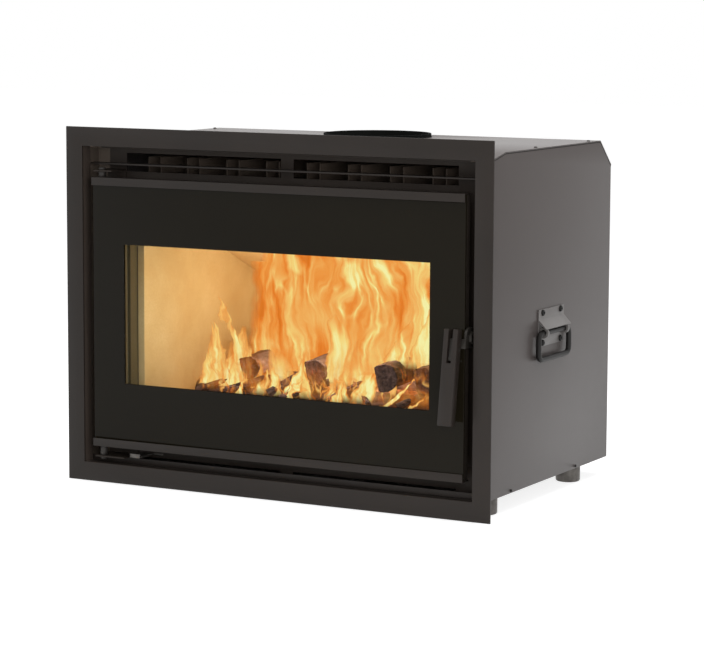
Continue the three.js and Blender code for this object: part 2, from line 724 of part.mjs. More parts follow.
// Right wall board; its sloping top edge carries the baffle.
function sideLining() {
  const bottom = HEARTH_FLOOR + SEAM;
  return drawnAlongX(
    [
      [LINING_FRONT, bottom],
      [LINING_FRONT, baffleUnderside(LINING_FRONT) - SEAM],
      [LINING_BACK, baffleUnderside(LINING_BACK) - SEAM],
      [LINING_BACK, bottom],
    ],
    [HEARTH_HALF, HEARTH_HALF + LINING],
  );
}

function backLining() {
  const half = HEARTH_HALF - SEAM;
  const bottom = HEARTH_FLOOR + SEAM;
  return drawnAlongX(
    [
      [HEARTH_BACK_Y, bottom],
      [HEARTH_BACK_Y, baffleUnderside(HEARTH_BACK_Y) - SEAM],
      [LINING_BACK, baffleUnderside(LINING_BACK) - SEAM],
      [LINING_BACK, bottom],
    ],
    [-half, half],
  );
}

// Floor board with the window for the grate and the slot over the air box.
function floorLining() {
  const half = HEARTH_HALF + LINING;
  const board = block(
    [-half, half],
    [LINING_FRONT, LINING_BACK],
    [SHELL_FLOOR + SEAM, HEARTH_FLOOR],
  );
  const window = block(
    [-GRATE_WIDTH / 2 - SEAM, GRATE_WIDTH / 2 + SEAM],
    [GRATE_MIDDLE_Y - GRATE_DEPTH / 2 - SEAM, GRATE_MIDDLE_Y + GRATE_DEPTH / 2 + SEAM],
    [SHELL_FLOOR - 1, HEARTH_FLOOR + 1],
  );
  const airSlot = block(
    [-HEARTH_HALF + HEARTH_SLOT_MARGIN, AIR_BOX_RIGHT - 4 * AIR_BOX_SHEET],
    [SHELL_FRONT + AIR_BOX_DEPTH / 2, SHELL_FRONT + AIR_BOX_DEPTH - 4 * AIR_BOX_SHEET],
    [SHELL_FLOOR - 1, HEARTH_FLOOR + 1],
  );
  return cut(board, window, airSlot);
}

// Sloping board under the roof of the firebox, laid on the side and back boards.
function baffle() {
  const lift = BAFFLE_THICKNESS / Math.cos(THREE.MathUtils.degToRad(BAFFLE_SLOPE_DEG));
  const half = HEARTH_HALF + LINING;
  return drawnAlongX(
    [
      [BAFFLE_FRONT_Y, baffleUnderside(BAFFLE_FRONT_Y)],
      [BAFFLE_FRONT_Y, baffleUnderside(BAFFLE_FRONT_Y) + lift],
      [LINING_BACK, baffleUnderside(LINING_BACK) + lift],
      [LINING_BACK, baffleUnderside(LINING_BACK)],
    ],
    [-half, half],
  );
}

// Low bar on the hearth that keeps the logs off the glass.
function logGuard() {
  const half = HEARTH_HALF - SEAM;
  const bottom = HEARTH_FLOOR + SEAM;
  const y0 = LINING_FRONT;
  const y1 = y0 + LOG_GUARD_THICKNESS;
  const chamfer = LOG_GUARD_THICKNESS / 3;
  return drawnAlongX(
    [
      [y0, bottom],
      [y0, bottom + LOG_GUARD_HEIGHT],
      [y1 - chamfer, bottom + LOG_GUARD_HEIGHT],
      [y1, bottom + LOG_GUARD_HEIGHT - chamfer],
      [y1, bottom],
    ],
    [-half, half],
  );
}

// Cast grate: a slotted plate on a deep rim that stands on the firebox floor.
function grate() {
  const x = [-GRATE_WIDTH / 2, GRATE_WIDTH / 2];
  const y = [GRATE_MIDDLE_Y - GRATE_DEPTH / 2, GRATE_MIDDLE_Y + GRATE_DEPTH / 2];
  const body = block(x, y, [SHELL_FLOOR + SEAM, HEARTH_FLOOR]);
  const hollow = block(
    [x[0] + GRATE_RIM, x[1] - GRATE_RIM],
    [y[0] + GRATE_RIM, y[1] - GRATE_RIM],
    [SHELL_FLOOR - 1, HEARTH_FLOOR - GRATE_PLATE],
  );
  const pitch = (GRATE_WIDTH - 4 * GRATE_RIM) / GRATE_SLOT_COUNT;
  const openings = Array.from({ length: GRATE_SLOT_COUNT }, (_, i) => {
    const middle = (i - (GRATE_SLOT_COUNT - 1) / 2) * pitch;
    return block(
      [middle - GRATE_SLOT / 2, middle + GRATE_SLOT / 2],
      [y[0] + 2 * GRATE_RIM, y[1] - 2 * GRATE_RIM],
      [SHELL_FLOOR, HEARTH_FLOOR + 1],
    );
  });
  return cut(body, hollow, ...openings);
}

// Folded tray with a rolled-out lip, standing in the ash well.
function ashPan() {
  const half = WELL_HALF - PAN_GAP;
  const y = [WELL_Y[0] + PAN_GAP, WELL_Y[1] - PAN_GAP];
  const z = [WELL_BOTTOM + SEAM, WELL_BOTTOM + SEAM + PAN_HEIGHT];
  const tray = block([-half, half], y, z);
  const lip = block(
    [-half - PAN_LIP, half + PAN_LIP],
    [y[0] - PAN_LIP, y[1] + PAN_LIP],
    [z[1] - PAN_SHEET, z[1]],
  );
  const inside = block(
    [-half + PAN_SHEET, half - PAN_SHEET],
    [y[0] + PAN_SHEET, y[1] - PAN_SHEET],
    [z[0] + PAN_SHEET, z[1] + 1],
  );
  return cut(join(tray, lip), inside);
}

// A log as a bar of eight sides between two points on its axis, with flat sides
// below and above, standing on a height.
function log([x0, y0], [x1, y1], bottom, diameter) {
  const length = Math.hypot(x1 - x0, y1 - y0);
  const corner = diameter / 2 / Math.cos(Math.PI / 8);
  return new THREE.CylinderGeometry(corner, corner, length, 8)
    .rotateY(Math.PI / 8)
    .rotateZ(Math.PI / 2)
    .rotateZ(Math.atan2(y1 - y0, x1 - x0))
    .translate((x0 + x1) / 2, (y0 + y1) / 2, bottom + diameter / 2);
}

function lyingLog(y, leftMargin) {
  const left = leftMargin - HEARTH_HALF;
  const right = HEARTH_HALF - LOG_END_MARGIN;
  return log([left, y], [right, y], HEARTH_FLOOR + SEAM, LOG_DIAMETER);
}

function crossLog(i) {
  return log(
    [CROSS_LOG_FRONT_X[i], CROSS_LOG_FROM_Y[i]],
    [CROSS_LOG_REAR_X[i], CROSS_LOG_TO_Y],
    HEARTH_FLOOR + LOG_DIAMETER + 2 * SEAM,
    CROSS_LOG_DIAMETER[i],
  );
}

// Folded channel over the mouth that sends air down the inside of the glass.
function airWash() {
  const half = HEARTH_HALF - SEAM;
  const y0 = SHELL_FRONT;
  const z0 = MOUTH_TOP + WASH_DROP;
  const outline = folded(
    [
      [y0, z0 + WASH_RISE],
      [y0, z0],
      [y0 + WASH_REACH, z0],
      [y0 + WASH_REACH * 0.8, MOUTH_TOP + WASH_SHEET],
    ],
    WASH_SHEET,
  );
  return drawnAlongX(outline, [-half, half]);
}

// Fins on the firebox roof, in pairs, that warm the air on its way to the slots.
function heatFins() {
  const base = [SHELL_TOP + SEAM, SHELL_TOP + SEAM + FIN_SHEET];
  const y = [FIN_FRONT_Y, FIN_FRONT_Y + FIN_LENGTH];
  const reach = SHELL_HALF - FIN_MARGIN + FIN_SHEET;
  const pitch = (2 * (SHELL_HALF - FIN_MARGIN) - FIN_PAIR_SPACING) / (FIN_PAIRS - 1);
  const fins = Array.from({ length: FIN_PAIRS * 2 }, (_, i) => {
    const pair = (Math.floor(i / 2) - (FIN_PAIRS - 1) / 2) * pitch;
    const x = pair + (i % 2 === 0 ? -0.5 : 0.5) * FIN_PAIR_SPACING;
    return block([x - FIN_SHEET / 2, x + FIN_SHEET / 2], y, [base[0], base[0] + FIN_HEIGHT]);
  });
  return join(block([-reach, reach], y, base), ...fins);
}

// Flue collar: a tube through roof and casing, flanged on the firebox roof, with
// an inner step on which the pipe stands.
function flueCollar() {
  const bore = FLUE_BORE / 2;
  const tube = bore + FLUE_WALL;
  const flange = tube + FLUE_FLANGE;
  const rim = CASING_TOP + FLUE_RISE;
  const seat = SHELL_TOP + SEAM;
  const step = rim - FLUE_STOP_BELOW_RIM;
  return turned(
    [
      [bore, SHELL_TOP - SHELL_SHEET],
      [tube, SHELL_TOP - SHELL_SHEET],
      [tube, seat],
      [flange, seat],
      [flange, seat + FLUE_FLANGE_SHEET],
      [tube, seat + FLUE_FLANGE_SHEET],
      [tube, rim],
      [bore, rim],
      [bore, step],
      [bore - FLUE_STOP, step],
      [bore - FLUE_STOP, step - FLUE_FLANGE_SHEET],
      [bore, step - FLUE_FLANGE_SHEET],
      [bore, SHELL_TOP - SHELL_SHEET],
    ],
    [0, FLUE_Y],
    64,
  );
}

// Duct behind the front plate, under the firebox, with the lane of the air slide.
function airBox() {
  const x = [AIR_BOX_LEFT, AIR_BOX_RIGHT];
  const y = [SHELL_FRONT, SHELL_FRONT + AIR_BOX_DEPTH];
  const z = [AIR_BOX_BOTTOM, SHELL_BOTTOM - SEAM];
  const inner = [x[0] + AIR_BOX_SHEET, x[1] - AIR_BOX_SHEET];
  const inside = block(inner, [y[0] - 1, y[1] - AIR_BOX_SHEET], [z[0] + AIR_BOX_SHEET, z[1] + 1]);
  const laneDepth = AIR_SLIDE_SHEET + 2 * SEAM;
  const screen = block(inner.map((v, i) => (i ? v + 1 : v - 1)), [
    y[0] + laneDepth,
    y[0] + laneDepth + AIR_BOX_SHEET,
  ], [z[0] + 1, z[1]]);
  const ledge = block(inner.map((v, i) => (i ? v + 1 : v - 1)), [
    y[0],
    y[0] + laneDepth + 1,
  ], [AIR_LANE_TOP + SEAM, AIR_LANE_TOP + SEAM + AIR_BOX_SHEET]);
  const ports = airPorts(AIR_BOX_MIDDLE_X, y[0] - 1, y[0] + laneDepth + AIR_BOX_SHEET + 1);
  return cut(join(cut(block(x, y, z), inside), screen, ledge), ...ports);
}

// Ported slide behind the front plate, with the tab that is pushed by hand.
function airSlide() {
  const y = [SHELL_FRONT + SEAM, SHELL_FRONT + SEAM + AIR_SLIDE_SHEET];
  const x = [AIR_TAB_X, AIR_TAB_X + AIR_SLIDE_WIDTH];
  const plate = block(x, y, [AIR_LANE_BOTTOM, AIR_LANE_TOP - SEAM]);
  const tab = drawnAlongX(
    folded(
      [
        [y[0] + AIR_SLIDE_SHEET / 2, AIR_TAB_Z[0]],
        [AIR_TAB_FRONT_Y, AIR_TAB_Z[0]],
        [AIR_TAB_FRONT_Y, AIR_TAB_Z[0] + AIR_TAB_TIP],
      ].reverse(),
      AIR_TAB_SHEET,
    ),
    [x[0], x[0] + AIR_TAB_WIDTH],
  );
  return cut(join(plate, tab), ...airPorts(AIR_BOX_MIDDLE_X, y[0] - 1, y[1] + 1));
}

// Right rail between casing floor and firebox: a channel open to the outside.
function supportRail() {
  const x = SHELL_HALF - SUPPORT_INSET;
  const z = [CASING_BOTTOM + CASING_SHEET + SEAM, SHELL_BOTTOM - SEAM];
  const web = block([x, x + SUPPORT_SHEET], [SUPPORT_FROM_Y, SUPPORT_TO_Y], z);
  const flanges = [z[0], z[1] - SUPPORT_SHEET].map((bottom) =>
    block(
      [x, x + SUPPORT_FLANGE],
      [SUPPORT_FROM_Y, SUPPORT_TO_Y],
      [bottom, bottom + SUPPORT_SHEET],
    ),
  );
  return join(web, ...flanges);
}

// ------------------------------------------------------------------------- door
function doorGlass() {
  const z = [DOOR_BOTTOM + STRIP_SHEET + SEAM, DOOR_TOP - STRIP_SHEET - SEAM];
  return block([-DOOR_HALF, DOOR_HALF], [GLASS_Y, GLASS_REAR], z);
}

// Folded steel frame behind the glass: a rear face with a rim at each edge.
function doorFrame() {
  const half = DOOR_FRAME_HALF;
  const y = [DOOR_FRAME_Y, DOOR_REAR_Y];
  const opening = [
    [-MOUTH_HALF - DOOR_SHEET, MOUTH_HALF + DOOR_SHEET],
    [MOUTH_BOTTOM - DOOR_SHEET, MOUTH_TOP + DOOR_SHEET],
  ];
  const body = block([-half, half], y, [DOOR_FRAME_BOTTOM, DOOR_FRAME_TOP]);
  const hole = block(opening[0], [y[0] - 1, y[1] + 1], opening[1]);
  const channel = cut(
    block(
      [-half + DOOR_SHEET, half - DOOR_SHEET],
      [y[0] - 1, y[1] - DOOR_SHEET],
      [DOOR_FRAME_BOTTOM + DOOR_SHEET, DOOR_FRAME_TOP - DOOR_SHEET],
    ),
    block(
      [opening[0][0] - DOOR_SHEET, opening[0][1] + DOOR_SHEET],
      [y[0] - 2, y[1]],
      [opening[1][0] - DOOR_SHEET, opening[1][1] + DOOR_SHEET],
    ),
  );
  const pinHole = bar(
    "z",
    [DOOR_FRAME_BOTTOM - 1, DOOR_FRAME_TOP + 1],
    HINGE_PIN_DIAMETER + 2 * RUNNING_GAP,
    [HINGE_X, HINGE_Y, 0],
  );
  const shaftHole = bar(
    "x",
    [half - 2 * DOOR_SHEET, half + 1],
    LATCH_SHAFT_DIAMETER + 2 * RUNNING_GAP,
    [0, LATCH_Y, LATCH_HEIGHT],
  );
  return cut(body, hole, channel, pinHole, shaftHole);
}

// Flat ceramic tape between the glass and the inner rim of the door frame.
function glassGasket() {
  const y = [GLASS_REAR + SEAM, GLASS_REAR + SEAM + GASKET_THICKNESS];
  return ring([-MOUTH_HALF, MOUTH_HALF], [MOUTH_BOTTOM, MOUTH_TOP], [0, GASKET_WIDTH], y);
}

// Ceramic rope on the rear of the door, round the mouth.
function doorRope() {
  const x = MOUTH_HALF + DOOR_SHEET + ROPE_OFFSET;
  const z = [MOUTH_BOTTOM - DOOR_SHEET - ROPE_OFFSET, MOUTH_TOP + DOOR_SHEET + ROPE_OFFSET];
  return ring([-x, x], z, [0, ROPE_WIDTH], [DOOR_REAR_Y + SEAM, SEAT_FRONT_Y - SEAM]);
}

// Channel along the top edge of the door that clasps glass and frame.
function doorTopStrip() {
  const outline = folded(
    [
      [DOOR_REAR_Y, DOOR_TOP],
      [DOOR_FRONT_Y, DOOR_TOP],
      [DOOR_FRONT_Y, DOOR_TOP - STRIP_HEIGHT],
    ],
    STRIP_SHEET,
  );
  return stripWithPinHole(outline, [DOOR_TOP - 5, DOOR_TOP + 5]);
}

function doorBottomStrip() {
  const outline = folded(
    [
      [DOOR_FRONT_Y, DOOR_BOTTOM + STRIP_HEIGHT],
      [DOOR_FRONT_Y, DOOR_BOTTOM],
      [DOOR_REAR_Y, DOOR_BOTTOM],
    ],
    STRIP_SHEET,
  );
  return stripWithPinHole(outline, [DOOR_BOTTOM - 5, DOOR_BOTTOM + 5]);
}

function stripWithPinHole(outline, reach) {
  const hole = HINGE_PIN_DIAMETER + 2 * RUNNING_GAP;
  return cut(
    drawnAlongX(outline, [-DOOR_HALF, DOOR_HALF]),
    bar("z", reach, hole, [HINGE_X, HINGE_Y, 0]),
  );
}

// ----------------------------------------------------------------------- hinges
// Heights of a hinge from the door edge outwards: up at the top, down at the bottom.
function hingeHeights(side) {
  const edge = side > 0 ? DOOR_TOP : DOOR_BOTTOM;
  const gap = side > 0 ? HINGE_TOP_GAP : HINGE_BOTTOM_GAP;
  const near = edge + side * gap;
  return { edge, near, far: near + side * HINGE_BRACKET_SHEET };
}

const sorted = (a, b) => [Math.min(a, b), Math.max(a, b)];

// Angle bracket on the front plate: a shelf with the pin hole, and a leg.
function hingeBracket(side) {
  const { near, far } = hingeHeights(side);
  const inner = side > 0 ? HINGE_TOP_INNER : HINGE_BOTTOM_INNER;
  const x = [HINGE_X - HINGE_BRACKET_OUTER, HINGE_X + inner];
  const rear = PLATE_Y - SEAM;
  const shelf = block(x, [HINGE_Y - HINGE_BRACKET_NOSE, rear], sorted(near, far));
  const leg = block(x, [rear - HINGE_BRACKET_SHEET, rear], sorted(far, near - side * HINGE_BRACKET_LEG));
  const hole = bar(
    "z",
    sorted(near - side, far + side),
    HINGE_PIN_DIAMETER + 2 * RUNNING_GAP,
    [HINGE_X, HINGE_Y, 0],
  );
  return cut(join(shelf, leg), hole);
}

// Turned pin: head beyond the bracket, collar between bracket and door, and a
// long end in the bush of the door.
function hingePin(side) {
  const { edge, near, far } = hingeHeights(side);
  const pin = HINGE_PIN_DIAMETER / 2;
  const collar = HINGE_COLLAR_DIAMETER / 2;
  const head = HINGE_HEAD_DIAMETER / 2;
  const profile = [
    [0, edge - side * HINGE_PIN_IN_DOOR],
    [pin, edge - side * HINGE_PIN_IN_DOOR],
    [pin, edge + side * SEAM],
    [collar, edge + side * SEAM],
    [collar, near - side * SEAM],
    [pin, near - side * SEAM],
    [pin, far + side * SEAM],
    [head, far + side * SEAM],
    [head, far + side * HINGE_HEAD_HEIGHT],
    [0, far + side * HINGE_HEAD_HEIGHT],
  ];
  return turned(side > 0 ? profile : profile.reverse(), [HINGE_X, HINGE_Y], 24);
}

// Bearing block in the hollow edge of the door frame.
function hingeBush(side) {
  const rim = side > 0 ? DOOR_FRAME_TOP : DOOR_FRAME_BOTTOM;
  const start = rim - side * (DOOR_SHEET + SEAM);
  const left = -DOOR_FRAME_HALF + DOOR_SHEET + SEAM;
  const body = block(
    [left, HINGE_X + HINGE_BUSH_WIDTH / 2],
    [DOOR_FRAME_Y, DOOR_REAR_Y - DOOR_SHEET - SEAM],
    sorted(start, start - side * HINGE_BUSH_LENGTH),
  );
  const hole = bar(
    "z",
    sorted(start + side, start - side * (HINGE_BUSH_LENGTH + 1)),
    HINGE_PIN_DIAMETER + 2 * RUNNING_GAP,
    [HINGE_X, HINGE_Y, 0],
  );
  return cut(body, hole);
}

// ----------------------------------------------------------- latch and handle
const SHAFT_INNER = DOOR_FRAME_HALF - LATCH_SHAFT_IN_DOOR;

// Bearing block of the latch shaft in the hollow edge of the door frame.
function latchBush() {
  const body = block(
    [SHAFT_INNER + 2, DOOR_FRAME_HALF - DOOR_SHEET - SEAM],
    [DOOR_FRAME_Y, DOOR_REAR_Y - DOOR_SHEET - SEAM],
    [LATCH_HEIGHT - LATCH_BUSH_HEIGHT / 2, LATCH_HEIGHT + LATCH_BUSH_HEIGHT / 2],
  );
  const hole = bar(
    "x",
    [SHAFT_INNER, DOOR_FRAME_HALF],
    LATCH_SHAFT_DIAMETER + 2 * RUNNING_GAP,
    [0, LATCH_Y, LATCH_HEIGHT],
  );
  return cut(body, hole);
}

// Shaft through the door edge, with a hexagon nut outside the hook plate.
function latchShaft() {
  const place = [0, LATCH_Y, LATCH_HEIGHT];
  const nutX = LATCH_PLATE_X + LATCH_PLATE + SEAM;
  const shaft = bar("x", [SHAFT_INNER, nutX + 1], LATCH_SHAFT_DIAMETER, place);
  const nut = bar("x", [nutX, nutX + LATCH_NUT_HEIGHT], LATCH_NUT_DIAMETER, place, 6);
  return join(shaft, nut);
}

// Puts a piece drawn upright below the top rear edge of the grip into its lean.
function leaned(geometry) {
  return geometry.rotateX(-LEAN).translate(GRIP_X, GRIP_REAR_Y, GRIP_TOP);
}

// Flat bar handle with softened edges and an open slot from its top.
function handleGrip() {
  const outline = new THREE.Shape();
  const half = GRIP_WIDTH / 2 - GRIP_EDGE;
  outline.moveTo(-half, -GRIP_DEPTH + GRIP_EDGE);
  outline.lineTo(half, -GRIP_DEPTH + GRIP_EDGE);
  outline.lineTo(half, -GRIP_EDGE);
  outline.lineTo(-half, -GRIP_EDGE);
  const body = new THREE.ExtrudeGeometry(outline, {
    depth: GRIP_LENGTH - 2 * GRIP_EDGE,
    bevelSize: GRIP_EDGE,
    bevelThickness: GRIP_EDGE,
    bevelSegments: 2,
  }).translate(0, 0, -GRIP_LENGTH + GRIP_EDGE);
  const slot = block(
    [-GRIP_SLOT_WIDTH / 2, GRIP_SLOT_WIDTH / 2],
    [-GRIP_DEPTH - 1, 1],
    [-GRIP_SLOT_LENGTH, 1],
  );
  return leaned(cut(body, slot, gripPin(RUNNING_GAP, 1)));
}

// Cross pin of grip and tang, or with a gap the hole for it.
function gripPin(gap, over) {
  const half = GRIP_WIDTH / 2 + over;
  const z = -(TANG_TOP_BELOW_GRIP + GRIP_SLOT_LENGTH - TANG_END_GAP) / 2;
  return bar("x", [-half, half], GRIP_PIN_DIAMETER + 2 * gap, [0, -TANG_DEPTH / 2, z], 20);
}

// Hook plate on the shaft, with the leg round the glass edge and the tang in the
// slot of the grip.
function latchArm() {
  const x = [LATCH_PLATE_X, LATCH_PLATE_X + LATCH_PLATE];
  const disc = bar("x", x, LATCH_DISC_DIAMETER, [0, LATCH_Y, LATCH_HEIGHT], 40);
  const rollerUnderside = LATCH_HEIGHT + HOOK_TO_ROLLER;
  const hook = drawnAlongX(
    [
      [LATCH_Y, rollerUnderside - HOOK_HEIGHT - 3],
      [LATCH_Y, rollerUnderside - HOOK_TO_ROLLER],
      [LATCH_Y + HOOK_REACH - 4, rollerUnderside - HOOK_TO_ROLLER],
      [LATCH_Y + HOOK_REACH, rollerUnderside - HOOK_TO_ROLLER - 4],
      [LATCH_Y + HOOK_REACH - 3, rollerUnderside - HOOK_HEIGHT],
    ],
    x,
  );
  const legRear = GLASS_Y - 3;
  const legZ = [LATCH_HEIGHT - 1 - ARM_LEG_HEIGHT, LATCH_HEIGHT - 1];
  const reach = block(x, [legRear - ARM_LEG, LATCH_Y], legZ);
  const tangHalf = GRIP_SLOT_WIDTH / 2 - SEAM;
  const leg = block([GRIP_X - tangHalf, x[1]], [legRear - ARM_LEG, legRear], legZ);
  const tang = leaned(
    block(
      [-tangHalf, tangHalf],
      [-TANG_DEPTH, 1],
      [-GRIP_SLOT_LENGTH + TANG_END_GAP, -TANG_TOP_BELOW_GRIP],
    ),
  );
  const root = block(
    [GRIP_X - tangHalf, GRIP_X + tangHalf],
    [GRIP_REAR_Y - 4, legRear - 1],
    legZ,
  );
  const shaftHole = bar(
    "x",
    [x[0] - 1, x[1] + 1],
    LATCH_SHAFT_DIAMETER + 2 * SEAM,
    [0, LATCH_Y, LATCH_HEIGHT],
  );
  return cut(join(disc, hook, reach, leg, root, tang), shaftHole, leaned(gripPin(SEAM, 1)));
}

// Keeper on the right cheek: a plate with the roller that the hook runs under.
function latchKeeper() {
  const rollerZ = LATCH_HEIGHT + HOOK_TO_ROLLER + ROLLER_DIAMETER / 2;
  const x1 = CHEEK_INNER - SEAM;
  const plate = block(
    [x1 - KEEPER_SHEET, x1],
    [ROLLER_Y - KEEPER_DEPTH / 2, Math.min(ROLLER_Y + KEEPER_DEPTH / 2, PLATE_Y - SEAM)],
    [rollerZ - KEEPER_HEIGHT / 2, rollerZ + KEEPER_HEIGHT / 2],
  );
  const roller = bar("x", [LATCH_PLATE_X, x1 - 1], ROLLER_DIAMETER, [0, ROLLER_Y, rollerZ]);
  return join(plate, roller);
}

// -------------------------------------------------------- side carrying handles
// Right bracket: a plate with a folded hood and two ears that hold the bail.
function carryBracket() {
  const x0 = CASING_HALF + SEAM;
  const half = CARRY_PLATE_WIDTH / 2;
  const y = [CARRY_Y - half, CARRY_Y + half];
  const plate = block([x0, CARRY_FACE], y, [CARRY_PLATE_BOTTOM, CARRY_PLATE_TOP]);
  const slope = folded(
    [
      [CARRY_FACE + CARRY_HOOD_REACH, CARRY_HOOD_TOP - CARRY_HOOD_DROP],
      [CARRY_FACE - CARRY_SHEET, CARRY_HOOD_TOP],
    ],
    CARRY_SHEET,
  );
  const hood = drawnAlongY(slope, y);
  const hole = BAIL_WIRE_DIAMETER + 2 * RUNNING_GAP;
  const ears = [-1, 1].map((side) => {
    const outer = CARRY_Y + side * (half - CARRY_EAR_INSET);
    const span = sorted(outer, outer - side * CARRY_EAR);
    const lug = bar("y", span, 2 * CARRY_EAR_RADIUS, [BAIL_X, 0, BAIL_PIVOT_HEIGHT], 28);
    const foot = block(
      [x0 + CARRY_SHEET / 2, BAIL_X],
      span,
      [BAIL_PIVOT_HEIGHT - CARRY_EAR_RADIUS, BAIL_PIVOT_HEIGHT + CARRY_EAR_RADIUS],
    );
    const neck = block(
      [x0 + CARRY_SHEET / 2, BAIL_X],
      span,
      [BAIL_PIVOT_HEIGHT, CARRY_HOOD_TOP - CARRY_HOOD_DROP],
    );
    return join(lug, foot, neck);
  });
  const whole = join(plate, hood, ...ears);
  const trim = block([x0 - 20, x0], [y[0] - 1, y[1] + 1], [CARRY_PLATE_BOTTOM - 1, CARRY_PLATE_TOP + 1]);
  return cut(whole, trim, bar("y", [y[0] - 1, y[1] + 1], hole, [BAIL_X, 0, BAIL_PIVOT_HEIGHT], 28));
}

// Right bail: a closed wire loop with round corners, hanging on its upper bar.
function carryBail() {
  const path = new THREE.CurvePath();
  const corners = [
    [-BAIL_WIDTH / 2, 0],
    [-BAIL_WIDTH / 2, -BAIL_DROP],
    [BAIL_WIDTH / 2, -BAIL_DROP],
    [BAIL_WIDTH / 2, 0],
  ].map(([y, z]) => new THREE.Vector3(BAIL_X, CARRY_Y + y, BAIL_PIVOT_HEIGHT + z));
  corners.forEach((corner, i) => {
    const before = corners[(i + 3) % 4];
    const after = corners[(i + 1) % 4];
    const start = corner.clone().add(before.clone().sub(corner).setLength(BAIL_CORNER));
    const end = corner.clone().add(after.clone().sub(corner).setLength(BAIL_CORNER));
    const next = after.clone().add(corner.clone().sub(after).setLength(BAIL_CORNER));
    path.add(new THREE.QuadraticBezierCurve3(start, corner, end));
    path.add(new THREE.LineCurve3(end, next));
  });
  return closedWire(path, BAIL_RADIUS, 12, 5);
}

// A round wire swept along a closed path in a plane of constant X.
function closedWire(path, radius, sides, cornerSteps) {
  const centres = [];
  path.curves.forEach((curve) => {
    const steps = curve.isLineCurve3 ? 1 : cornerSteps;
    for (let i = 0; i < steps; i += 1) {
      centres.push({ point: curve.getPoint(i / steps), tangent: curve.getTangent(i / steps) });
    }
  });
  const across = new THREE.Vector3(1, 0, 0);
  const positions = [];
  centres.forEach(({ point, tangent }) => {
    const normal = new THREE.Vector3().crossVectors(across, tangent);
    for (let k = 0; k < sides; k += 1) {
      const angle = (2 * Math.PI * k) / sides;
      const spoke = across.clone().multiplyScalar(radius * Math.cos(angle));
      spoke.addScaledVector(normal, radius * Math.sin(angle));
      positions.push(...spoke.add(point).toArray());
    }
  });
  const index = [];
  for (let i = 0; i < centres.length; i += 1) {
    for (let k = 0; k < sides; k += 1) {
      const here = i * sides;
      const next = ((i + 1) % centres.length) * sides;
      const turn = (k + 1) % sides;
      index.push(here + k, next + k, next + turn, here + k, next + turn, here + turn);
    }
  }
  const geometry = new THREE.BufferGeometry();
  geometry.setAttribute("position", new THREE.Float32BufferAttribute(positions, 3));
  geometry.setIndex(index);
  geometry.computeVertexNormals();
  return geometry;
}

// --------------------------------------------------------------------- assembly
const group = new THREE.Group();
// The origin stands on the floor, in the middle of the whole depth.
group.position.set(0, -(FRONT_MOST + CASING_REAR) / 2, 0);

function assembly(pieces) {
  const part = new THREE.Group();
  pieces.forEach(([name, geometry, material]) => {
    const mesh = new THREE.Mesh(geometry, material);
    mesh.name = name;
    part.add(mesh);
  });
  group.add(part);
}

const rightSide = sidePanel();
const rightLining = sideLining();
const rightBracket = carryBracket();
const rightBail = carryBail();
const rightRail = supportRail();

assembly([
  ["surround_frame", surroundFrame(), trimPaint],
  ["front_plate", frontPlate(), darkSteel],
  ["inlet_plate", inletPlate(), darkSteel],
  ["upper_louver_bar", upperLouver(), trimPaint],
  ["lower_louver_bar", lowerLouver(), trimPaint],
  ["side_panel_right", rightSide, casingPaint],
  ["side_panel_left", mirrored(rightSide), casingPaint],
  ["top_panel", topPanel(), casingPaint],
  ["back_panel", backPanel(), casingPaint],
  ["base_panel", basePanel(), casingPaint],
  ...footPlaces().map(([name, x, y]) => ["foot_" + name, foot(x, y), greySteel]),
  ["carry_bracket_right", rightBracket, casingPaint],
  ["carry_bracket_left", mirrored(rightBracket), casingPaint],
]);

assembly([
  ["firebox_shell", fireboxShell(), darkSteel],
  ["ash_well", ashWell(), darkSteel],
  ["door_seat_frame", doorSeat(), darkSteel],
  ["lining_right", rightLining, liningBoard],
  ["lining_left", mirrored(rightLining), liningBoard],
  ["lining_back", backLining(), liningBoard],
  ["lining_floor", floorLining(), liningBoard],
  ["baffle_board", baffle(), liningBoard],
  ["log_guard", logGuard(), castIron],
  ["grate", grate(), castIron],
  ["ash_pan", ashPan(), greySteel],
  ["air_wash_channel", airWash(), darkSteel],
  ["heat_fins", heatFins(), darkSteel],
  ["flue_collar", flueCollar(), blackPaint],
  ["air_box", airBox(), darkSteel],
  ["support_rail_right", rightRail, darkSteel],
  ["support_rail_left", mirrored(rightRail), darkSteel],
  ["hinge_bracket_top", hingeBracket(1), darkSteel],
  ["hinge_bracket_bottom", hingeBracket(-1), darkSteel],
  ["latch_keeper", latchKeeper(), greySteel],
]);

assembly([
  ["log_front", lyingLog(LOG_FRONT_Y, FRONT_LOG_LEFT_MARGIN), charredWood],
  ["log_rear", lyingLog(LOG_REAR_Y, LOG_END_MARGIN), charredWood],
  ...["left", "centre", "right", "far_right"].map((name, i) => [
    "log_cross_" + name,
    crossLog(i),
    charredWood,
  ]),
]);

assembly([
  ["door_glass", doorGlass(), blackGlass],
  ["door_frame", doorFrame(), blackPaint],
  ["glass_gasket", glassGasket(), ceramicRope],
  ["door_rope_seal", doorRope(), ceramicRope],
  ["door_top_strip", doorTopStrip(), trimPaint],
  ["door_bottom_strip", doorBottomStrip(), trimPaint],
  ["hinge_pin_top", hingePin(1), greySteel],
  ["hinge_pin_bottom", hingePin(-1), greySteel],
  ["hinge_bush_top", hingeBush(1), greySteel],
  ["hinge_bush_bottom", hingeBush(-1), greySteel],
  ["latch_bush", latchBush(), greySteel],
]);

assembly([
  ["handle_grip", handleGrip(), trimPaint],
  ["handle_pin", leaned(gripPin(0, 0)), greySteel],
  ["latch_arm", latchArm(), greySteel],
  ["latch_shaft", latchShaft(), greySteel],
]);

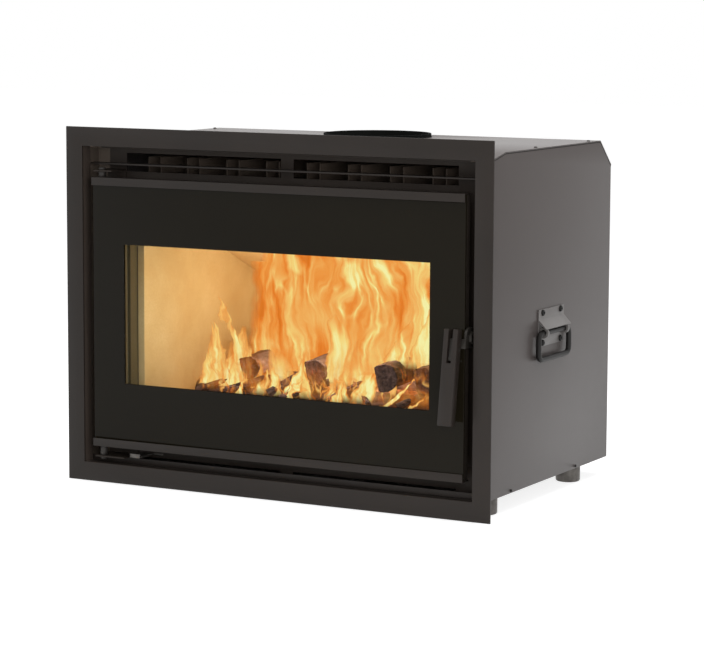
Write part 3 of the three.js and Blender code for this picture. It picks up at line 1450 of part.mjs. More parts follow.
assembly([
  ["air_slide", airSlide(), greySteel],
  ["carry_bail_right", rightBail, blackPaint],
  ["carry_bail_left", mirrored(rightBail), blackPaint],
]);

export default group;
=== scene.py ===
import math
import random

import bmesh
import bpy
from mathutils import Matrix, Vector, noise


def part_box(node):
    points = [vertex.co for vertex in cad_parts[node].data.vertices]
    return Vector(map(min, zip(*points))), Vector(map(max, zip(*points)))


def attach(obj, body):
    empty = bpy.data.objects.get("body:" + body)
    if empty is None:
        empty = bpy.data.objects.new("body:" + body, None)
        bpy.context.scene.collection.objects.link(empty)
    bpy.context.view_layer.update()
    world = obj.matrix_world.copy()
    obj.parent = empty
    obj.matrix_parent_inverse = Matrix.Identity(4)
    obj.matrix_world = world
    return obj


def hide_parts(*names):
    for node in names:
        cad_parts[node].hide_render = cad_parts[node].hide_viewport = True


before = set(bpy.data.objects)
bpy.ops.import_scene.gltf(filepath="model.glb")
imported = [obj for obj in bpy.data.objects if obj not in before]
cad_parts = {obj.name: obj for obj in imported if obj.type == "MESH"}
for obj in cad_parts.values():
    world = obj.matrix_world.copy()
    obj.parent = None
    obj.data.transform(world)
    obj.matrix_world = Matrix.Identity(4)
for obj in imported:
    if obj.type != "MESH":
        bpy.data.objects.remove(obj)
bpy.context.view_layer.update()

# --------------------------------------------------------------- camera and room
# A plain pale room: a wide floor, a pale surround, a large soft lamp above and two
# at the sides. The camera stands to the right of the front, a little above.
scene = bpy.context.scene
scene.view_settings.view_transform = "Standard"

MM = 0.001
FRONT_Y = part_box("surround_frame")[0].y
PALE = (1.0, 1.0, 1.0, 1.0)


class Value:
    """One value of a shader, with the arithmetic that the finishes are written in."""

    def __init__(self, finish, socket):
        self.finish = finish
        self.socket = socket

    def reckon(self, operation, first, second):
        inputs = {0: first, 1: second}
        return self.finish.make("Math", {"operation": operation}, inputs)

    def __add__(self, other):
        return self.reckon("ADD", self, other)

    def __radd__(self, other):
        return self.reckon("ADD", other, self)

    def __sub__(self, other):
        return self.reckon("SUBTRACT", self, other)

    def __rsub__(self, other):
        return self.reckon("SUBTRACT", other, self)

    def __mul__(self, other):
        return self.reckon("MULTIPLY", self, other)

    def __rmul__(self, other):
        return self.reckon("MULTIPLY", other, self)

    def __abs__(self):
        return self.reckon("ABSOLUTE", self, 0.0)

    def at_least(self, other):
        """The higher of this value and another."""
        return self.reckon("MAXIMUM", self, other)

    def beside(self, output):
        """Another output of the node that this value comes from."""
        return Value(self.finish, self.socket.node.outputs[output])


class Finish:
    """A material while it is being made."""

    def __init__(self, name, world=None):
        self.material = world or bpy.data.materials.new(name)
        self.material.use_nodes = True
        self.tree = self.material.node_tree
        self.tree.nodes.clear()
        kind = "ShaderNodeOutputWorld" if world else "ShaderNodeOutputMaterial"
        self.end = self.tree.nodes.new(kind)

    def make(self, kind, settings=None, inputs=None, output=0):
        """A node of one kind: its settings first, then its values and links."""
        node = self.tree.nodes.new("ShaderNode" + kind)
        for key, value in (settings or {}).items():
            if key == "stops":
                set_stops(node.color_ramp, value)
            else:
                setattr(node, key, value)
        for key, value in (inputs or {}).items():
            if isinstance(value, Value):
                self.tree.links.new(value.socket, node.inputs[key])
            else:
                node.inputs[key].default_value = value
        return Value(self, node.outputs[output])

    def place(self):
        return self.make("TexCoord", output="Object")

    def axes(self):
        """How far a spot of the surface lies along x, y and z."""
        x = self.make("SeparateXYZ", inputs={"Vector": self.place()})
        return x, x.beside("Y"), x.beside("Z")

    def stretched(self, along):
        return self.make("Mapping", inputs={"Vector": self.place(), "Scale": along})

    def cloud(self, scale, detail, vector=None, roughness=0.55):
        inputs = {
            "Vector": vector or self.place(),
            "Scale": scale,
            "Detail": detail,
            "Roughness": roughness,
        }
        return self.make("TexNoise", inputs=inputs)

    def cells(self, feature, scale, vector=None, randomness=1.0):
        """Distance to the middle of the nearest cell, or to its edge."""
        inputs = {
            "Vector": vector or self.place(),
            "Scale": scale,
            "Randomness": randomness,
        }
        return self.make("TexVoronoi", {"feature": feature}, inputs, output="Distance")

    def ramp(self, value, *stops):
        return self.make("ValToRGB", {"stops": stops}, {"Fac": value})

    def between(self, value, low, high, to_low=0.0, to_high=1.0):
        """A value spread from one range over another, and held at its ends."""
        inputs = {
            "Value": value,
            "From Min": low,
            "From Max": high,
            "To Min": to_low,
            "To Max": to_high,
        }
        return self.make("MapRange", {"clamp": True}, inputs)

    def mixed(self, factor, first, second):
        inputs = {0: factor, 6: first, 7: second}
        return self.make("Mix", {"data_type": "RGBA"}, inputs, output=2)

    def bumped(self, height, strength, depth):
        inputs = {"Height": height, "Strength": strength, "Distance": depth}
        return self.make("Bump", inputs=inputs)

    def close(self, surface):
        self.tree.links.new(surface.socket, self.end.inputs["Surface"])
        return self.material

    def skin(self, **inputs):
        named = {key.replace("_", " "): value for key, value in inputs.items()}
        return self.close(self.make("BsdfPrincipled", inputs=named))


def set_stops(ramp, stops):
    while len(ramp.elements) < len(stops):
        ramp.elements.new(1.0)
    for element, (position, color) in zip(ramp.elements, stops):
        element.position = position
        element.color = color


def seen_directly(finish):
    """One where a ray comes from the camera, from a glossy surface or through glass."""
    from_camera = finish.make("LightPath", output="Is Camera Ray")
    glossy = from_camera.beside("Is Glossy Ray")
    through = from_camera.beside("Is Transmission Ray")
    return from_camera.at_least(glossy.at_least(through))


FLOOR_REACH = 14.0
FLOOR_SHADE = (0.42, 0.42, 0.42, 1.0)
FLOOR_GLOW = 0.83
floor_mesh = bpy.data.meshes.new("floor")
floor_corners = [
    (x * FLOOR_REACH, y * FLOOR_REACH, 0.0)
    for x, y in ((-1, -1), (1, -1), (1, 1), (-1, 1))
]
floor_mesh.from_pydata(floor_corners, [], [(0, 1, 2, 3)])
floor = bpy.data.objects.new("floor", floor_mesh)
scene.collection.objects.link(floor)
floor_finish = Finish("pale floor")
floor_glow = seen_directly(floor_finish) * FLOOR_GLOW
pale_board = floor_finish.make("BsdfDiffuse", inputs={"Color": FLOOR_SHADE})
pale_glow = floor_finish.make("Emission", inputs={"Color": PALE, "Strength": floor_glow})
floor_sum = floor_finish.make("AddShader", inputs={0: pale_board, 1: pale_glow})
floor_mesh.materials.append(floor_finish.close(floor_sum))

ROOM_LIGHT = 0.42
world = bpy.data.worlds.new("room")
scene.world = world
room = Finish("room", world)
direct = seen_directly(room)
room_light = direct + (1.0 - direct) * ROOM_LIGHT
room.close(room.make("Background", inputs={"Color": PALE, "Strength": room_light}))


def hung(light, place):
    """A lamp in its place, unseen by the camera and in glossy surfaces."""
    lamp = bpy.data.objects.new(light.name, light)
    lamp.location = place
    lamp.visible_camera = False
    lamp.visible_glossy = False
    scene.collection.objects.link(lamp)
    return lamp


def soft_lamp(name, place, aim, size, watts):
    light = bpy.data.lights.new(name, "AREA")
    light.shape = "RECTANGLE"
    light.size, light.size_y = size
    light.energy = watts
    lamp = hung(light, place)
    lamp.rotation_mode = "QUATERNION"
    lamp.rotation_quaternion = (Vector(aim) - Vector(place)).to_track_quat("-Z", "Y")


soft_lamp("lamp above", (0.3, 0.2, 3.2), aim=(0.0, 0.0, 0.3), size=(2.6, 2.6), watts=94)
soft_lamp("lamp right", (2.8, -1.9, 1.3), aim=(0.3, 0.0, 0.3), size=(2.0, 2.0), watts=20)
soft_lamp("lamp front", (1.7, -3.1, 0.9), aim=(0.0, 0.0, 0.3), size=(1.4, 1.0), watts=21)

# The camera's place in millimetres: across, behind the frame's front, above the floor.
CAMERA_FOCAL = 135.6
SENSOR_WIDTH = 36.0
CAMERA_PLACE = (2160.6, -3716.5, 840.5)
CAMERA_TURN = 28.398
CAMERA_DIP = 7.222
CAMERA_ROLL = 0.259
lens = bpy.data.cameras.new("camera")
lens.sensor_width = SENSOR_WIDTH
lens.lens = CAMERA_FOCAL
camera = bpy.data.objects.new("camera", lens)
camera.location = Vector(CAMERA_PLACE) * MM + Vector((0, FRONT_Y, 0))
camera.rotation_mode = "QUATERNION"
camera.rotation_quaternion = (
    Matrix.Rotation(math.radians(CAMERA_TURN), 3, "Z")
    @ Matrix.Rotation(math.radians(90 - CAMERA_DIP), 3, "X")
    @ Matrix.Rotation(math.radians(CAMERA_ROLL), 3, "Z")
).to_quaternion()
scene.collection.objects.link(camera)
scene.camera = camera

# ---------------------------------------------------------------- surround frame
# Flat frame of sheet steel with a lip folded back round its opening, sprayed with
# dark brown-grey stove paint. The side lips are painted paler, as painted light in
# the shade inside them. The sheet's cut edges are broken by hand.
INSERT = "insert"
LIT_MARGIN_FADE = 2 * MM
LIT_MARGIN_END = 371 * MM
MERGE_WITHIN = 2e-6
FLAT_WITHIN = math.radians(0.6)
SHARP_FROM = math.radians(35)


def tone(red, green, blue):
    """A colour from 0 to 255, as a screen shows it, in the shader's linear values."""

    def linear(value):
        value = value / 255
        return value / 12.92 if value <= 0.04045 else ((value + 0.055) / 1.055) ** 2.4

    return (linear(red), linear(green), linear(blue), 1.0)


def depth(millimetres):
    """A depth behind the front face of the surround frame."""
    return FRONT_Y + millimetres * MM


def stove_paint(
    name, color, dark=0.82, light=1.18, roughness=0.5, gloss=0.3, spread=0.05, lit_margin=None
):
    """Sprayed stove paint: fine grain, faint clouds and slightly rubbed patches.

    A lit margin is a half width, a depth and a tone. Outside the half width, as far as
    LIT_MARGIN_END, and behind the depth, the paint has that tone, which is painted
    light: a paler tone where the surface lies in shade.
    """
    paint = Finish(name)
    clouds = paint.cloud(6.0, 4.0)
    grain = paint.cloud(1400.0, 1.0)
    rubbed = paint.cloud(40.0, 6.0, roughness=0.7)
    shade = paint.between(clouds * 0.7 + rubbed * 0.3, 0.35, 0.65)
    deep = tuple(c * dark for c in color[:3]) + (1.0,)
    pale = tuple(c * light for c in color[:3]) + (1.0,)
    coat = paint.mixed(shade, deep, pale)
    # Painted light: outside the half width and behind the depth, a paler tone stands in
    # for light in the shade there.
    if lit_margin:
        half, front, thin = lit_margin
        x, y, _ = paint.axes()
        off = abs(x)
        outside = paint.between(off, half, half + LIT_MARGIN_FADE)
        outside = outside * paint.between(y, front, front + LIT_MARGIN_FADE)
        outside = outside * paint.between(off, LIT_MARGIN_END, LIT_MARGIN_END - LIT_MARGIN_FADE / 2)
        coat = paint.mixed(outside, coat, thin)
    return paint.skin(
        Base_Color=coat,
        Roughness=paint.between(rubbed, 0.3, 0.7, roughness - spread, roughness + spread),
        Specular_IOR_Level=gloss,
        Normal=paint.bumped(grain, 0.10, 0.0002),
    )


def fitted(mesh, material, body=INSERT):
    """The piece that a mesh makes, on the body that it moves with."""
    mesh.materials.clear()
    mesh.materials.append(material)
    piece = bpy.data.objects.new(mesh.name, mesh)
    scene.collection.objects.link(piece)
    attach(piece, body)
    return piece


def rolled(node, material, edge, body=INSERT, steps=2):
    """The solid of a CAD node, its edges broken to a radius in millimetres."""
    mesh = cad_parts[node].data.copy()
    mesh.name = node + "_finished"
    work = bmesh.new()
    work.from_mesh(mesh)
    bmesh.ops.remove_doubles(work, verts=work.verts, dist=MERGE_WITHIN)
    bmesh.ops.dissolve_limit(
        work, angle_limit=FLAT_WITHIN, verts=work.verts, edges=work.edges
    )
    work.to_mesh(mesh)
    work.free()
    for face in mesh.polygons:
        face.use_smooth = True
    piece = fitted(mesh, material, body)
    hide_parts(node)
    if edge:
        bevel = piece.modifiers.new("broken edge", "BEVEL")
        bevel.limit_method = "ANGLE"
        bevel.angle_limit = SHARP_FROM
        bevel.width = edge * MM
        bevel.segments = steps
        bevel.harden_normals = True
    return piece


TRIM_TONE = tone(40, 34, 30)
# Painted light: the side lips' paler tone, lifting the shade inside them.
LIP_LIGHT_TONE = tone(72, 63, 57)
trim_paint = stove_paint("trim paint", TRIM_TONE, roughness=0.46, gloss=0.30)
frame_paint_lit_lips = stove_paint(
    "frame paint with painted lip light",
    TRIM_TONE,
    roughness=0.46,
    gloss=0.30,
    lit_margin=(364 * MM, depth(2.5), LIP_LIGHT_TONE),
)
rolled("surround_frame", frame_paint_lit_lips, edge=0.6)

# ------------------------------------------------------------------------ casing
# Bent sheets of grey metallic-painted steel, screwed together along their flanges:
# two sides, a roof with a sloping front and a bevelled rear, a back and a floor.
CASING_TONE = tone(86, 80, 78)
casing_paint = stove_paint(
    "casing paint",
    CASING_TONE,
    dark=0.98,
    light=1.02,
    roughness=0.32,
    gloss=0.14,
    spread=0.01,
)
for panel in (
    "side_panel_right",
    "side_panel_left",
    "top_panel",
    "back_panel",
    "base_panel",
):
    rolled(panel, casing_paint, edge=0.4)

# ---------------------------------------------------------- screws of the casing
# Low domed steel heads with a hexagon socket, two to a sheet edge. Those of the roof
# are painted grey, and those that hold the casing's floor are black.
SCREW_TONE = tone(18, 17, 16)
ROOF_SCREW_TONE = tone(66, 62, 59)
SCREW_SIDES = 24
HEAD_RISE = 0.32
HEAD_RINGS = ((1.0, 0.0), (1.0, 0.35), (0.86, 0.75), (0.62, 1.0))
SOCKET_REACH = 0.34
SOCKET_RINGS = (1.0, 0.25)
ROOF_SCREW_ACROSS = 6.0
ROOF_SCREW_INSET = 9.4 * MM
ROOF_SCREW_DEPTHS = (219.5, 434.8)
FLOOR_SCREW_ACROSS = 5.0
FLOOR_SCREW_HEIGHT = 4.0 * MM
FLOOR_SCREW_DEPTHS = (120.0, 379.0)
screw_paint = stove_paint("screw black", SCREW_TONE, roughness=0.5, gloss=0.25)
roof_screw_paint = stove_paint("screw grey", ROOF_SCREW_TONE, roughness=0.5, gloss=0.25)


def bridge(work, rows, closed=True):
    """Faces from each row of points to the next, all the way round if closed."""
    for near, far in zip(rows, rows[1:]):
        for k in range(0 if closed else 1, len(near)):
            work.faces.new((near[k - 1], near[k], far[k], far[k - 1]))


def new_piece(name, work, material, smooth=True):
    """A piece of the insert's body that was built face by face."""
    bmesh.ops.recalc_face_normals(work, faces=work.faces)
    mesh = bpy.data.meshes.new(name)
    work.to_mesh(mesh)
    work.free()
    if smooth:
        mesh.shade_smooth()
    return fitted(mesh, material)


def hexagon(angle):
    """How far a hexagon reaches at an angle, where its flats lie one away."""
    part = math.pi / 3
    return 1.0 / math.cos((angle + part / 2) % part - part / 2)


def screw(name, place, facing, across, paint=screw_paint):
    """A domed screw head with a hexagon socket, standing on a surface.

    A ring is its reach, in radii of the head, and its height, in rises of the head.
    """
    radius = across / 2
    rise = across * HEAD_RISE
    angles = [2 * math.pi * k / SCREW_SIDES for k in range(SCREW_SIDES)]
    socket = [SOCKET_REACH * hexagon(angle) for angle in angles]
    rings = [([reach] * SCREW_SIDES, height) for reach, height in HEAD_RINGS]
    rings += [(socket, height) for height in SOCKET_RINGS]
    head = bmesh.new()
    loops = []
    for reaches, height in rings:
        loop = []
        for angle, reach in zip(angles, reaches):
            x, y = reach * radius * math.cos(angle), reach * radius * math.sin(angle)
            loop.append(head.verts.new((x, y, height * rise)))
        loops.append(loop)
    bridge(head, loops)
    head.faces.new(loops[-1])
    head.faces.new(list(reversed(loops[0])))
    turn = Vector(facing).to_track_quat("Z", "Y").to_matrix().to_4x4()
    head.transform(Matrix.Translation(place) @ turn @ Matrix.Scale(MM, 4))
    piece = new_piece(name, head, paint)
    crease = piece.modifiers.new("crisp", "EDGE_SPLIT")
    crease.split_angle = SHARP_FROM


side_low, side_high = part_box("side_panel_right")
roof_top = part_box("top_panel")[1].z
for side, hand in ((-1, "left"), (1, "right")):
    for count, y in enumerate(ROOF_SCREW_DEPTHS):
        place = (side * (side_high.x - ROOF_SCREW_INSET), depth(y), roof_top)
        name = f"roof_screw_{hand}_{count + 1}"
        screw(name, place, (0, 0, 1), ROOF_SCREW_ACROSS, roof_screw_paint)
    for count, y in enumerate(FLOOR_SCREW_DEPTHS):
        place = (side * side_high.x, depth(y), side_low.z + FLOOR_SCREW_HEIGHT)
        name = f"floor_screw_{hand}_{count + 1}"
        screw(name, place, (side, 0, 0), FLOOR_SCREW_ACROSS)

# ----------------------------------------------------------- joints of the roof
# The roof sheet lies on the flange at the top of each side sheet. The shadow in the
# joint between them is painted as a dark line, a thin strip along the side sheet's
# outline.
JOINT_SHADOW_TONE = tone(52, 48, 46)
JOINT_WIDTH = 1.0 * MM
JOINT_PROUD = 0.15 * MM
JOINT_DROP = 60 * MM
ON_FACE = 0.1 * MM
DECIMALS = 4
joint_shadow_paint = stove_paint("painted joint shadow", JOINT_SHADOW_TONE, roughness=0.8, gloss=0.1)


def roof_joint(hand, side):
    """A painted shadow: a thin dark line along the upper outline of a side sheet."""
    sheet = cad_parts["side_panel_" + hand]
    corners = [sheet.matrix_world @ v.co for v in sheet.data.vertices]
    outer = side * max(side * corner.x for corner in corners)
    heights = {}
    for corner in corners:
        if abs(corner.x - outer) < ON_FACE and corner.z > roof_top - JOINT_DROP:
            along = round(corner.y, DECIMALS)
            heights[along] = max(corner.z, heights.get(along, 0.0))
    out = Vector((side * JOINT_PROUD, 0, 0))
    down = Vector((0, 0, -JOINT_WIDTH))
    line = bmesh.new()
    loops = []
    for y, z in sorted(heights.items()):
        corner = Vector((outer, y, z))
        shape = (corner, corner + out, corner + out + down, corner + down)
        loops.append([line.verts.new(spot) for spot in shape])
    bridge(line, loops)
    line.faces.new(loops[0])
    line.faces.new(loops[-1])
    new_piece("roof_joint_" + hand, line, joint_shadow_paint, smooth=False)


roof_joint("right", 1)
roof_joint("left", -1)

# -------------------------------------------------------------------------- feet
# Four turned steel feet, zinc plated and dull, screwed into the casing floor. The
# plating keeps the fine rings of the turning.
zinc = Finish("zinc plate")
zinc_turning = zinc.cloud(30.0, 2.0, zinc.stretched((1.0, 1.0, 60.0)))
zinc_bloom = zinc.between(zinc.cloud(90.0, 4.0), 0.3, 0.7)
zinc_plate = zinc.skin(
    Base_Color=zinc.mixed(zinc_bloom, tone(80, 76, 73), tone(113, 109, 104)),
    Roughness=zinc.between(zinc_turning, 0.3, 0.7, 0.34, 0.5),
    Metallic=0.55,
    Normal=zinc.bumped(zinc_turning, 0.12, 0.0003),
)
for corner in ("front_left", "front_right", "rear_left", "rear_right"):
    rolled("foot_" + corner, zinc_plate, edge=0.5)

# ------------------------------------------------------------------- front plate
# Dark painted steel plate behind the door, with warm-air slots above and cold-air
# slots below. A bar crosses the slots above and below, and a bracket beside each
# carries a hinge pin.
DARK_TONE = tone(47, 40, 35)
# Painted light: a paler tone on the plate beside the door, lifting the shade in the gaps.
PLATE_LIGHT_TONE = tone(92, 82, 73)
dark_paint = stove_paint("dark plate paint", DARK_TONE, roughness=0.55, gloss=0.25)
plate_paint_lit_sides = stove_paint(
    "front plate paint with painted side light",
    DARK_TONE,
    roughness=0.55,
    gloss=0.25,
    lit_margin=(346 * MM, depth(10), PLATE_LIGHT_TONE),
)
for plate in ("front_plate", "inlet_plate"):
    rolled(plate, plate_paint_lit_sides, edge=0.3)
for bar in ("upper_louver_bar", "lower_louver_bar"):
    rolled(bar, trim_paint, edge=0.4)
for bracket in ("hinge_bracket_top", "hinge_bracket_bottom"):
    rolled(bracket, dark_paint, edge=0.3)

# --------------------------------------------------------------- lip sealing strip
# A stepped strip of sheet steel on the front plate's top fold. It closes the slit
# behind the upper lip of the frame, and its outline gives depths and heights.
SEAL_HALF_LENGTH = 362 * MM
SEAL_OUTLINE = (
    (26.1, 571.9),
    (26.1, 574.7),
    (26.4, 575.0),
    (28.0, 575.0),
    (28.4, 574.6),
    (28.4, 573.7),
    (35.6, 573.7),
    (36.0, 573.2),
    (36.0, 571.9),
)
seal = bmesh.new()
seal_ends = [
    [seal.verts.new((x, depth(y), z * MM)) for y, z in SEAL_OUTLINE]
    for x in (-SEAL_HALF_LENGTH, SEAL_HALF_LENGTH)
]
bridge(seal, seal_ends)
for seal_end in seal_ends:
    seal.faces.new(seal_end)
new_piece("lip_seal", seal, dark_paint, smooth=False)

# --------------------------------------------------------------- seat of the mouth
# A welded steel frame round the mouth, which the door's rope presses on. It is
# painted black. Across the middle, near the window, it is painted olive and paler:
# painted firelight and reflection of the fire.
MOUTH_FIRELIGHT = 302 * MM
FIRELIGHT_FADE = 8 * MM
firelit = Finish("steel with painted firelight")
firelit_cloud = firelit.cloud(30.0, 4.0)
# Painted firelight and reflection: olive and paler across the middle, dark paint towards
# the sides.
firelit_steel = firelit.skin(
    Base_Color=firelit.mixed(
        firelit.between(abs(firelit.axes()[0]), MOUTH_FIRELIGHT, MOUTH_FIRELIGHT + FIRELIGHT_FADE),
        firelit.mixed(firelit_cloud, tone(78, 71, 52), tone(90, 82, 60)),
        firelit.mixed(firelit_cloud, tone(50, 44, 39), tone(60, 53, 47)),
    ),
    Roughness=firelit.between(firelit_cloud, 0.3, 0.7, 0.55, 0.65),
    Specular_IOR_Level=0.3,
)
rolled("door_seat_frame", firelit_steel, edge=0.3)

# ---------------------------------------------------------------- firebox outside
# Welded firebox with its ash well, rails, fins, air box and air channel, all in dark
# heat-proof paint. The ash pan, the latch keeper and the air slide are zinc plated.
HEATED_TONE = tone(76, 66, 58)
heated_paint = stove_paint("heated plate paint", HEATED_TONE, roughness=0.6, gloss=0.25)
for welded in (
    "firebox_shell",
    "ash_well",
    "heat_fins",
    "air_box",
    "support_rail_right",
    "support_rail_left",
    "air_wash_channel",
):
    rolled(welded, heated_paint, edge=0.3, steps=1)
for plated, body in (
    ("ash_pan", INSERT),
    ("latch_keeper", INSERT),
    ("air_slide", "air_slide"),
):
    rolled(plated, zinc_plate, edge=0.25, body=body, steps=1)

# -------------------------------------------------------------------- flue collar
# Turned collar that the flue pipe stands in, fixed on the roof round the flue's
# hole and covered with deep black heat-proof paint.
COLLAR_TONE = tone(17, 18, 17)
collar_paint = stove_paint("collar black", COLLAR_TONE, roughness=0.8, gloss=0.05)
rolled("flue_collar", collar_paint, edge=0.5)

# --------------------------------------------------------- boards of the chamber
# Cream vermiculite boards stand on the firebox floor and lean on each other. They
# are pressed from flakes, and smoke has darkened them in clouds. The sloping baffle
# over the fire is given a paler copy of the board's tones: painted light.
WALL_TONES = (tone(226, 204, 152), tone(208, 178, 124), tone(192, 160, 106))
BAFFLE_LIT_TONES = (tone(255, 236, 186), tone(246, 216, 160), tone(226, 194, 138))


def vermiculite(name, clean, smoked, gap):
    """Pressed flakes with pores between them, and clouds of smoke over the face."""
    board = Finish(name)
    flakes = board.cells("F1", 420.0)
    smoke = board.cloud(7.0, 5.0)
    pores = board.cloud(260.0, 3.0)
    gaps = board.between(flakes * 0.6 + pores * 0.4, 0.25, 0.6, 0.0, 0.35)
    face = board.mixed(board.between(smoke, 0.38, 0.66), clean, smoked)
    return board.skin(
        Base_Color=board.mixed(gaps, face, gap),
        Roughness=board.between(pores, 0.3, 0.7, 0.86, 0.98),
        Specular_IOR_Level=0.2,
        Normal=board.bumped(flakes + pores, 0.25, 0.0006),
    )


wall_board = vermiculite("wall board", *WALL_TONES)
for slab in ("lining_right", "lining_left", "lining_back", "lining_floor"):
    rolled(slab, wall_board, edge=1.0)
# Painted light: the baffle's paler tones stand in for light that the fire lamps hardly
# give it.
baffle_lit_board = vermiculite("baffle board with painted light", *BAFFLE_LIT_TONES)
rolled("baffle_board", baffle_lit_board, edge=1.0)

# ------------------------------------------------------------- log guard and grate
# Rough sand castings of iron, darkened by the fire and dusted with ash. The guard
# keeps the logs off the glass, and the grate stands in the window of the floor board.
cast = Finish("cast iron")
cast_grain = cast.cloud(700.0, 4.0)
cast_ash = cast.between(cast.cloud(26.0, 5.0, roughness=0.7), 0.5, 0.7)
cast_iron = cast.skin(
    Base_Color=cast.mixed(cast_ash, tone(44, 42, 41), tone(96, 90, 84)),
    Roughness=cast.between(cast_grain, 0.3, 0.7, 0.62, 0.82),
    Metallic=0.4,
    Normal=cast.bumped(cast_grain, 0.4, 0.0006),
)
for casting in ("log_guard", "grate"):
    rolled(casting, cast_iron, edge=1.0)

# --------------------------------------------------------------- light of the fire
# The light that falls on the boards from between the flames, as four small warm
# lamps. Each has its place in the chamber and its watts.
FIRE_LAMPS = (
    ((70, 88, 335), 2.15),
    ((-60, 190, 205), 0.64),
    ((60, 230, 210), 0.9),
    ((190, 240, 240), 0.5),
)
FIRE_LIGHT = (1.0, 0.92, 0.74)
FIRE_LAMP_RADIUS = 50 * MM


def inside(x, y, z):
    """A place in the chamber: across, behind the frame's front, above the floor."""
    return Vector((x * MM, depth(y), z * MM))


for count, (place, watts) in enumerate(FIRE_LAMPS):
    light = bpy.data.lights.new(f"fire lamp {count + 1}", "POINT")
    light.energy = watts
    light.color = FIRE_LIGHT
    light.shadow_soft_size = FIRE_LAMP_RADIUS
    hung(light, inside(*place))

# -------------------------------------------------------------------------- logs
# Split logs, charred through and glowing in their cracks: two lie across the hearth
# and four lie over them with their ends to the front.
WOOD_AROUND, WOOD_RINGS = 56, 64
BARK_WAVE = 0.07
SIDE_SPLIT, SIDE_WAVE, SIDE_SLOPE = 0.5, 0.16, 0.22
TOP_SPLIT, TOP_SLOPE = 0.86, 0.2
WIDE_RIDGE, FINE_RIDGE = 1.6 * MM, 2.4 * MM
END_RINGS = ((0.9, 0.6), (0.6, 0.4), (0.3, -0.6))
END_SUNK, END_ROUGH = 2.0, 1.5
CHAR_DEEP, CHAR_PALE = tone(60, 45, 41), tone(124, 96, 86)
CHAR_GLOW = (
    (0.0, (0.0, 0.0, 0.0, 1.0)),
    (0.5, tone(150, 48, 10)),
    (1.0, tone(250, 140, 50)),
)


def charred_wood(name, grain, blocks):
    """Wood burnt to charcoal, with its grain and its cracks along the log."""
    char = Finish(name)
    line = char.cloud(1.0, 6.0, char.stretched(grain), roughness=0.65)
    cracks = char.cells("DISTANCE_TO_EDGE", 1.0, char.stretched(blocks), randomness=0.9)
    heat = char.cloud(20.0, 4.0)
    ash = char.cloud(90.0, 5.0, roughness=0.7)
    shade = char.between(line * 0.7 + ash * 0.3, 0.42, 0.62)
    glow = char.between(cracks, 0.04, 0.0) * char.between(heat, 0.58, 0.72)
    return char.skin(
        Base_Color=char.mixed(shade, CHAR_DEEP, CHAR_PALE),
        Roughness=char.between(line, 0.3, 0.7, 0.72, 0.92),
        Emission_Color=char.ramp(glow, *CHAR_GLOW),
        Emission_Strength=1.0,
        Normal=char.bumped(line + cracks * 0.3, 0.5, 0.002),
    )


lying_char = charred_wood(
    "charred wood lying", grain=(12.0, 150.0, 150.0), blocks=(55.0, 120.0, 120.0)
)
cross_char = charred_wood(
    "charred wood across", grain=(150.0, 12.0, 150.0), blocks=(120.0, 55.0, 120.0)
)


def split_wood(name, start, end, radius, material, seed):
    """Wood split from a trunk: a bark side, two split faces, and broken ends.

    The bark's waves and the split faces are shares of the radius. A ring of an end is
    its share of the width, and how far it stands out, in millimetres.
    """
    axis = end - start
    turn = axis.to_track_quat("X", "Z").to_matrix()
    wood = bmesh.new()
    loops = []
    for j in range(WOOD_RINGS + 1):
        t = j / WOOD_RINGS
        x = t * axis.length
        loop = []
        for k in range(WOOD_AROUND):
            a = 2 * math.pi * k / WOOD_AROUND
            across = Vector((math.cos(a) * 1.6, math.sin(a) * 1.6, t * 3 + seed))
            bark = 1.0 - BARK_WAVE + BARK_WAVE * noise.noise(across)
            y, z = math.cos(a) * radius * bark, math.sin(a) * radius * bark
            wave = SIDE_WAVE * noise.noise(Vector((t * 3, seed, 3.0)))
            y = min(y, radius * (SIDE_SPLIT + wave) + SIDE_SLOPE * z)
            z = min(z, radius * TOP_SPLIT - TOP_SLOPE * y)
            ridge = noise.noise(Vector((x * 9, a * 4, seed + 9.0))) * WIDE_RIDGE
            ridge += abs(noise.noise(Vector((x * 22, a * 13, seed)))) * FINE_RIDGE
            shrink = 1.0 - abs(ridge) / radius
            spot = turn @ Vector((x, y * shrink, z * shrink)) + start
            loop.append(wood.verts.new(spot))
        loops.append(loop)
    bridge(wood, loops)
    for loop, way in ((loops[0], -1), (loops[-1], 1)):
        cap = loop
        centre = sum((v.co for v in loop), Vector()) / WOOD_AROUND
        for part, out in END_RINGS:
            inner = []
            for v in loop:
                rough = noise.noise(v.co * 90 + Vector((seed, part, 0))) * END_ROUGH
                move = axis.normalized() * way * (out + rough - END_SUNK) * MM
                inner.append(wood.verts.new(centre + (v.co - centre) * part + move))
            bridge(wood, (cap, inner))
            cap = inner
        wood.faces.new(cap)
    return new_piece(name, wood, material)


def split_log(node, seed, lying=False):
    """The split log that lies where the plain one of the solids does."""
    low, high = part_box(node)
    middle_y, middle_z = (low.y + high.y) / 2, (low.z + high.z) / 2
    radius = (high.z - low.z) / 2
    if lying:
        start = Vector((low.x, middle_y, middle_z))
        end = Vector((high.x, middle_y, middle_z))
        material = lying_char
    else:
        start = Vector((high.x - radius, low.y, middle_z))
        end = Vector((low.x + radius, high.y, middle_z))
        material = cross_char
    log = split_wood(node + "_split", start, end, radius, material, seed)
    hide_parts(node)


split_log("log_front", seed=3.0, lying=True)
split_log("log_rear", seed=14.0, lying=True)
for count, side in enumerate(("left", "centre", "right", "far_right")):
    split_log("log_cross_" + side, seed=25.0 + 11.0 * count)

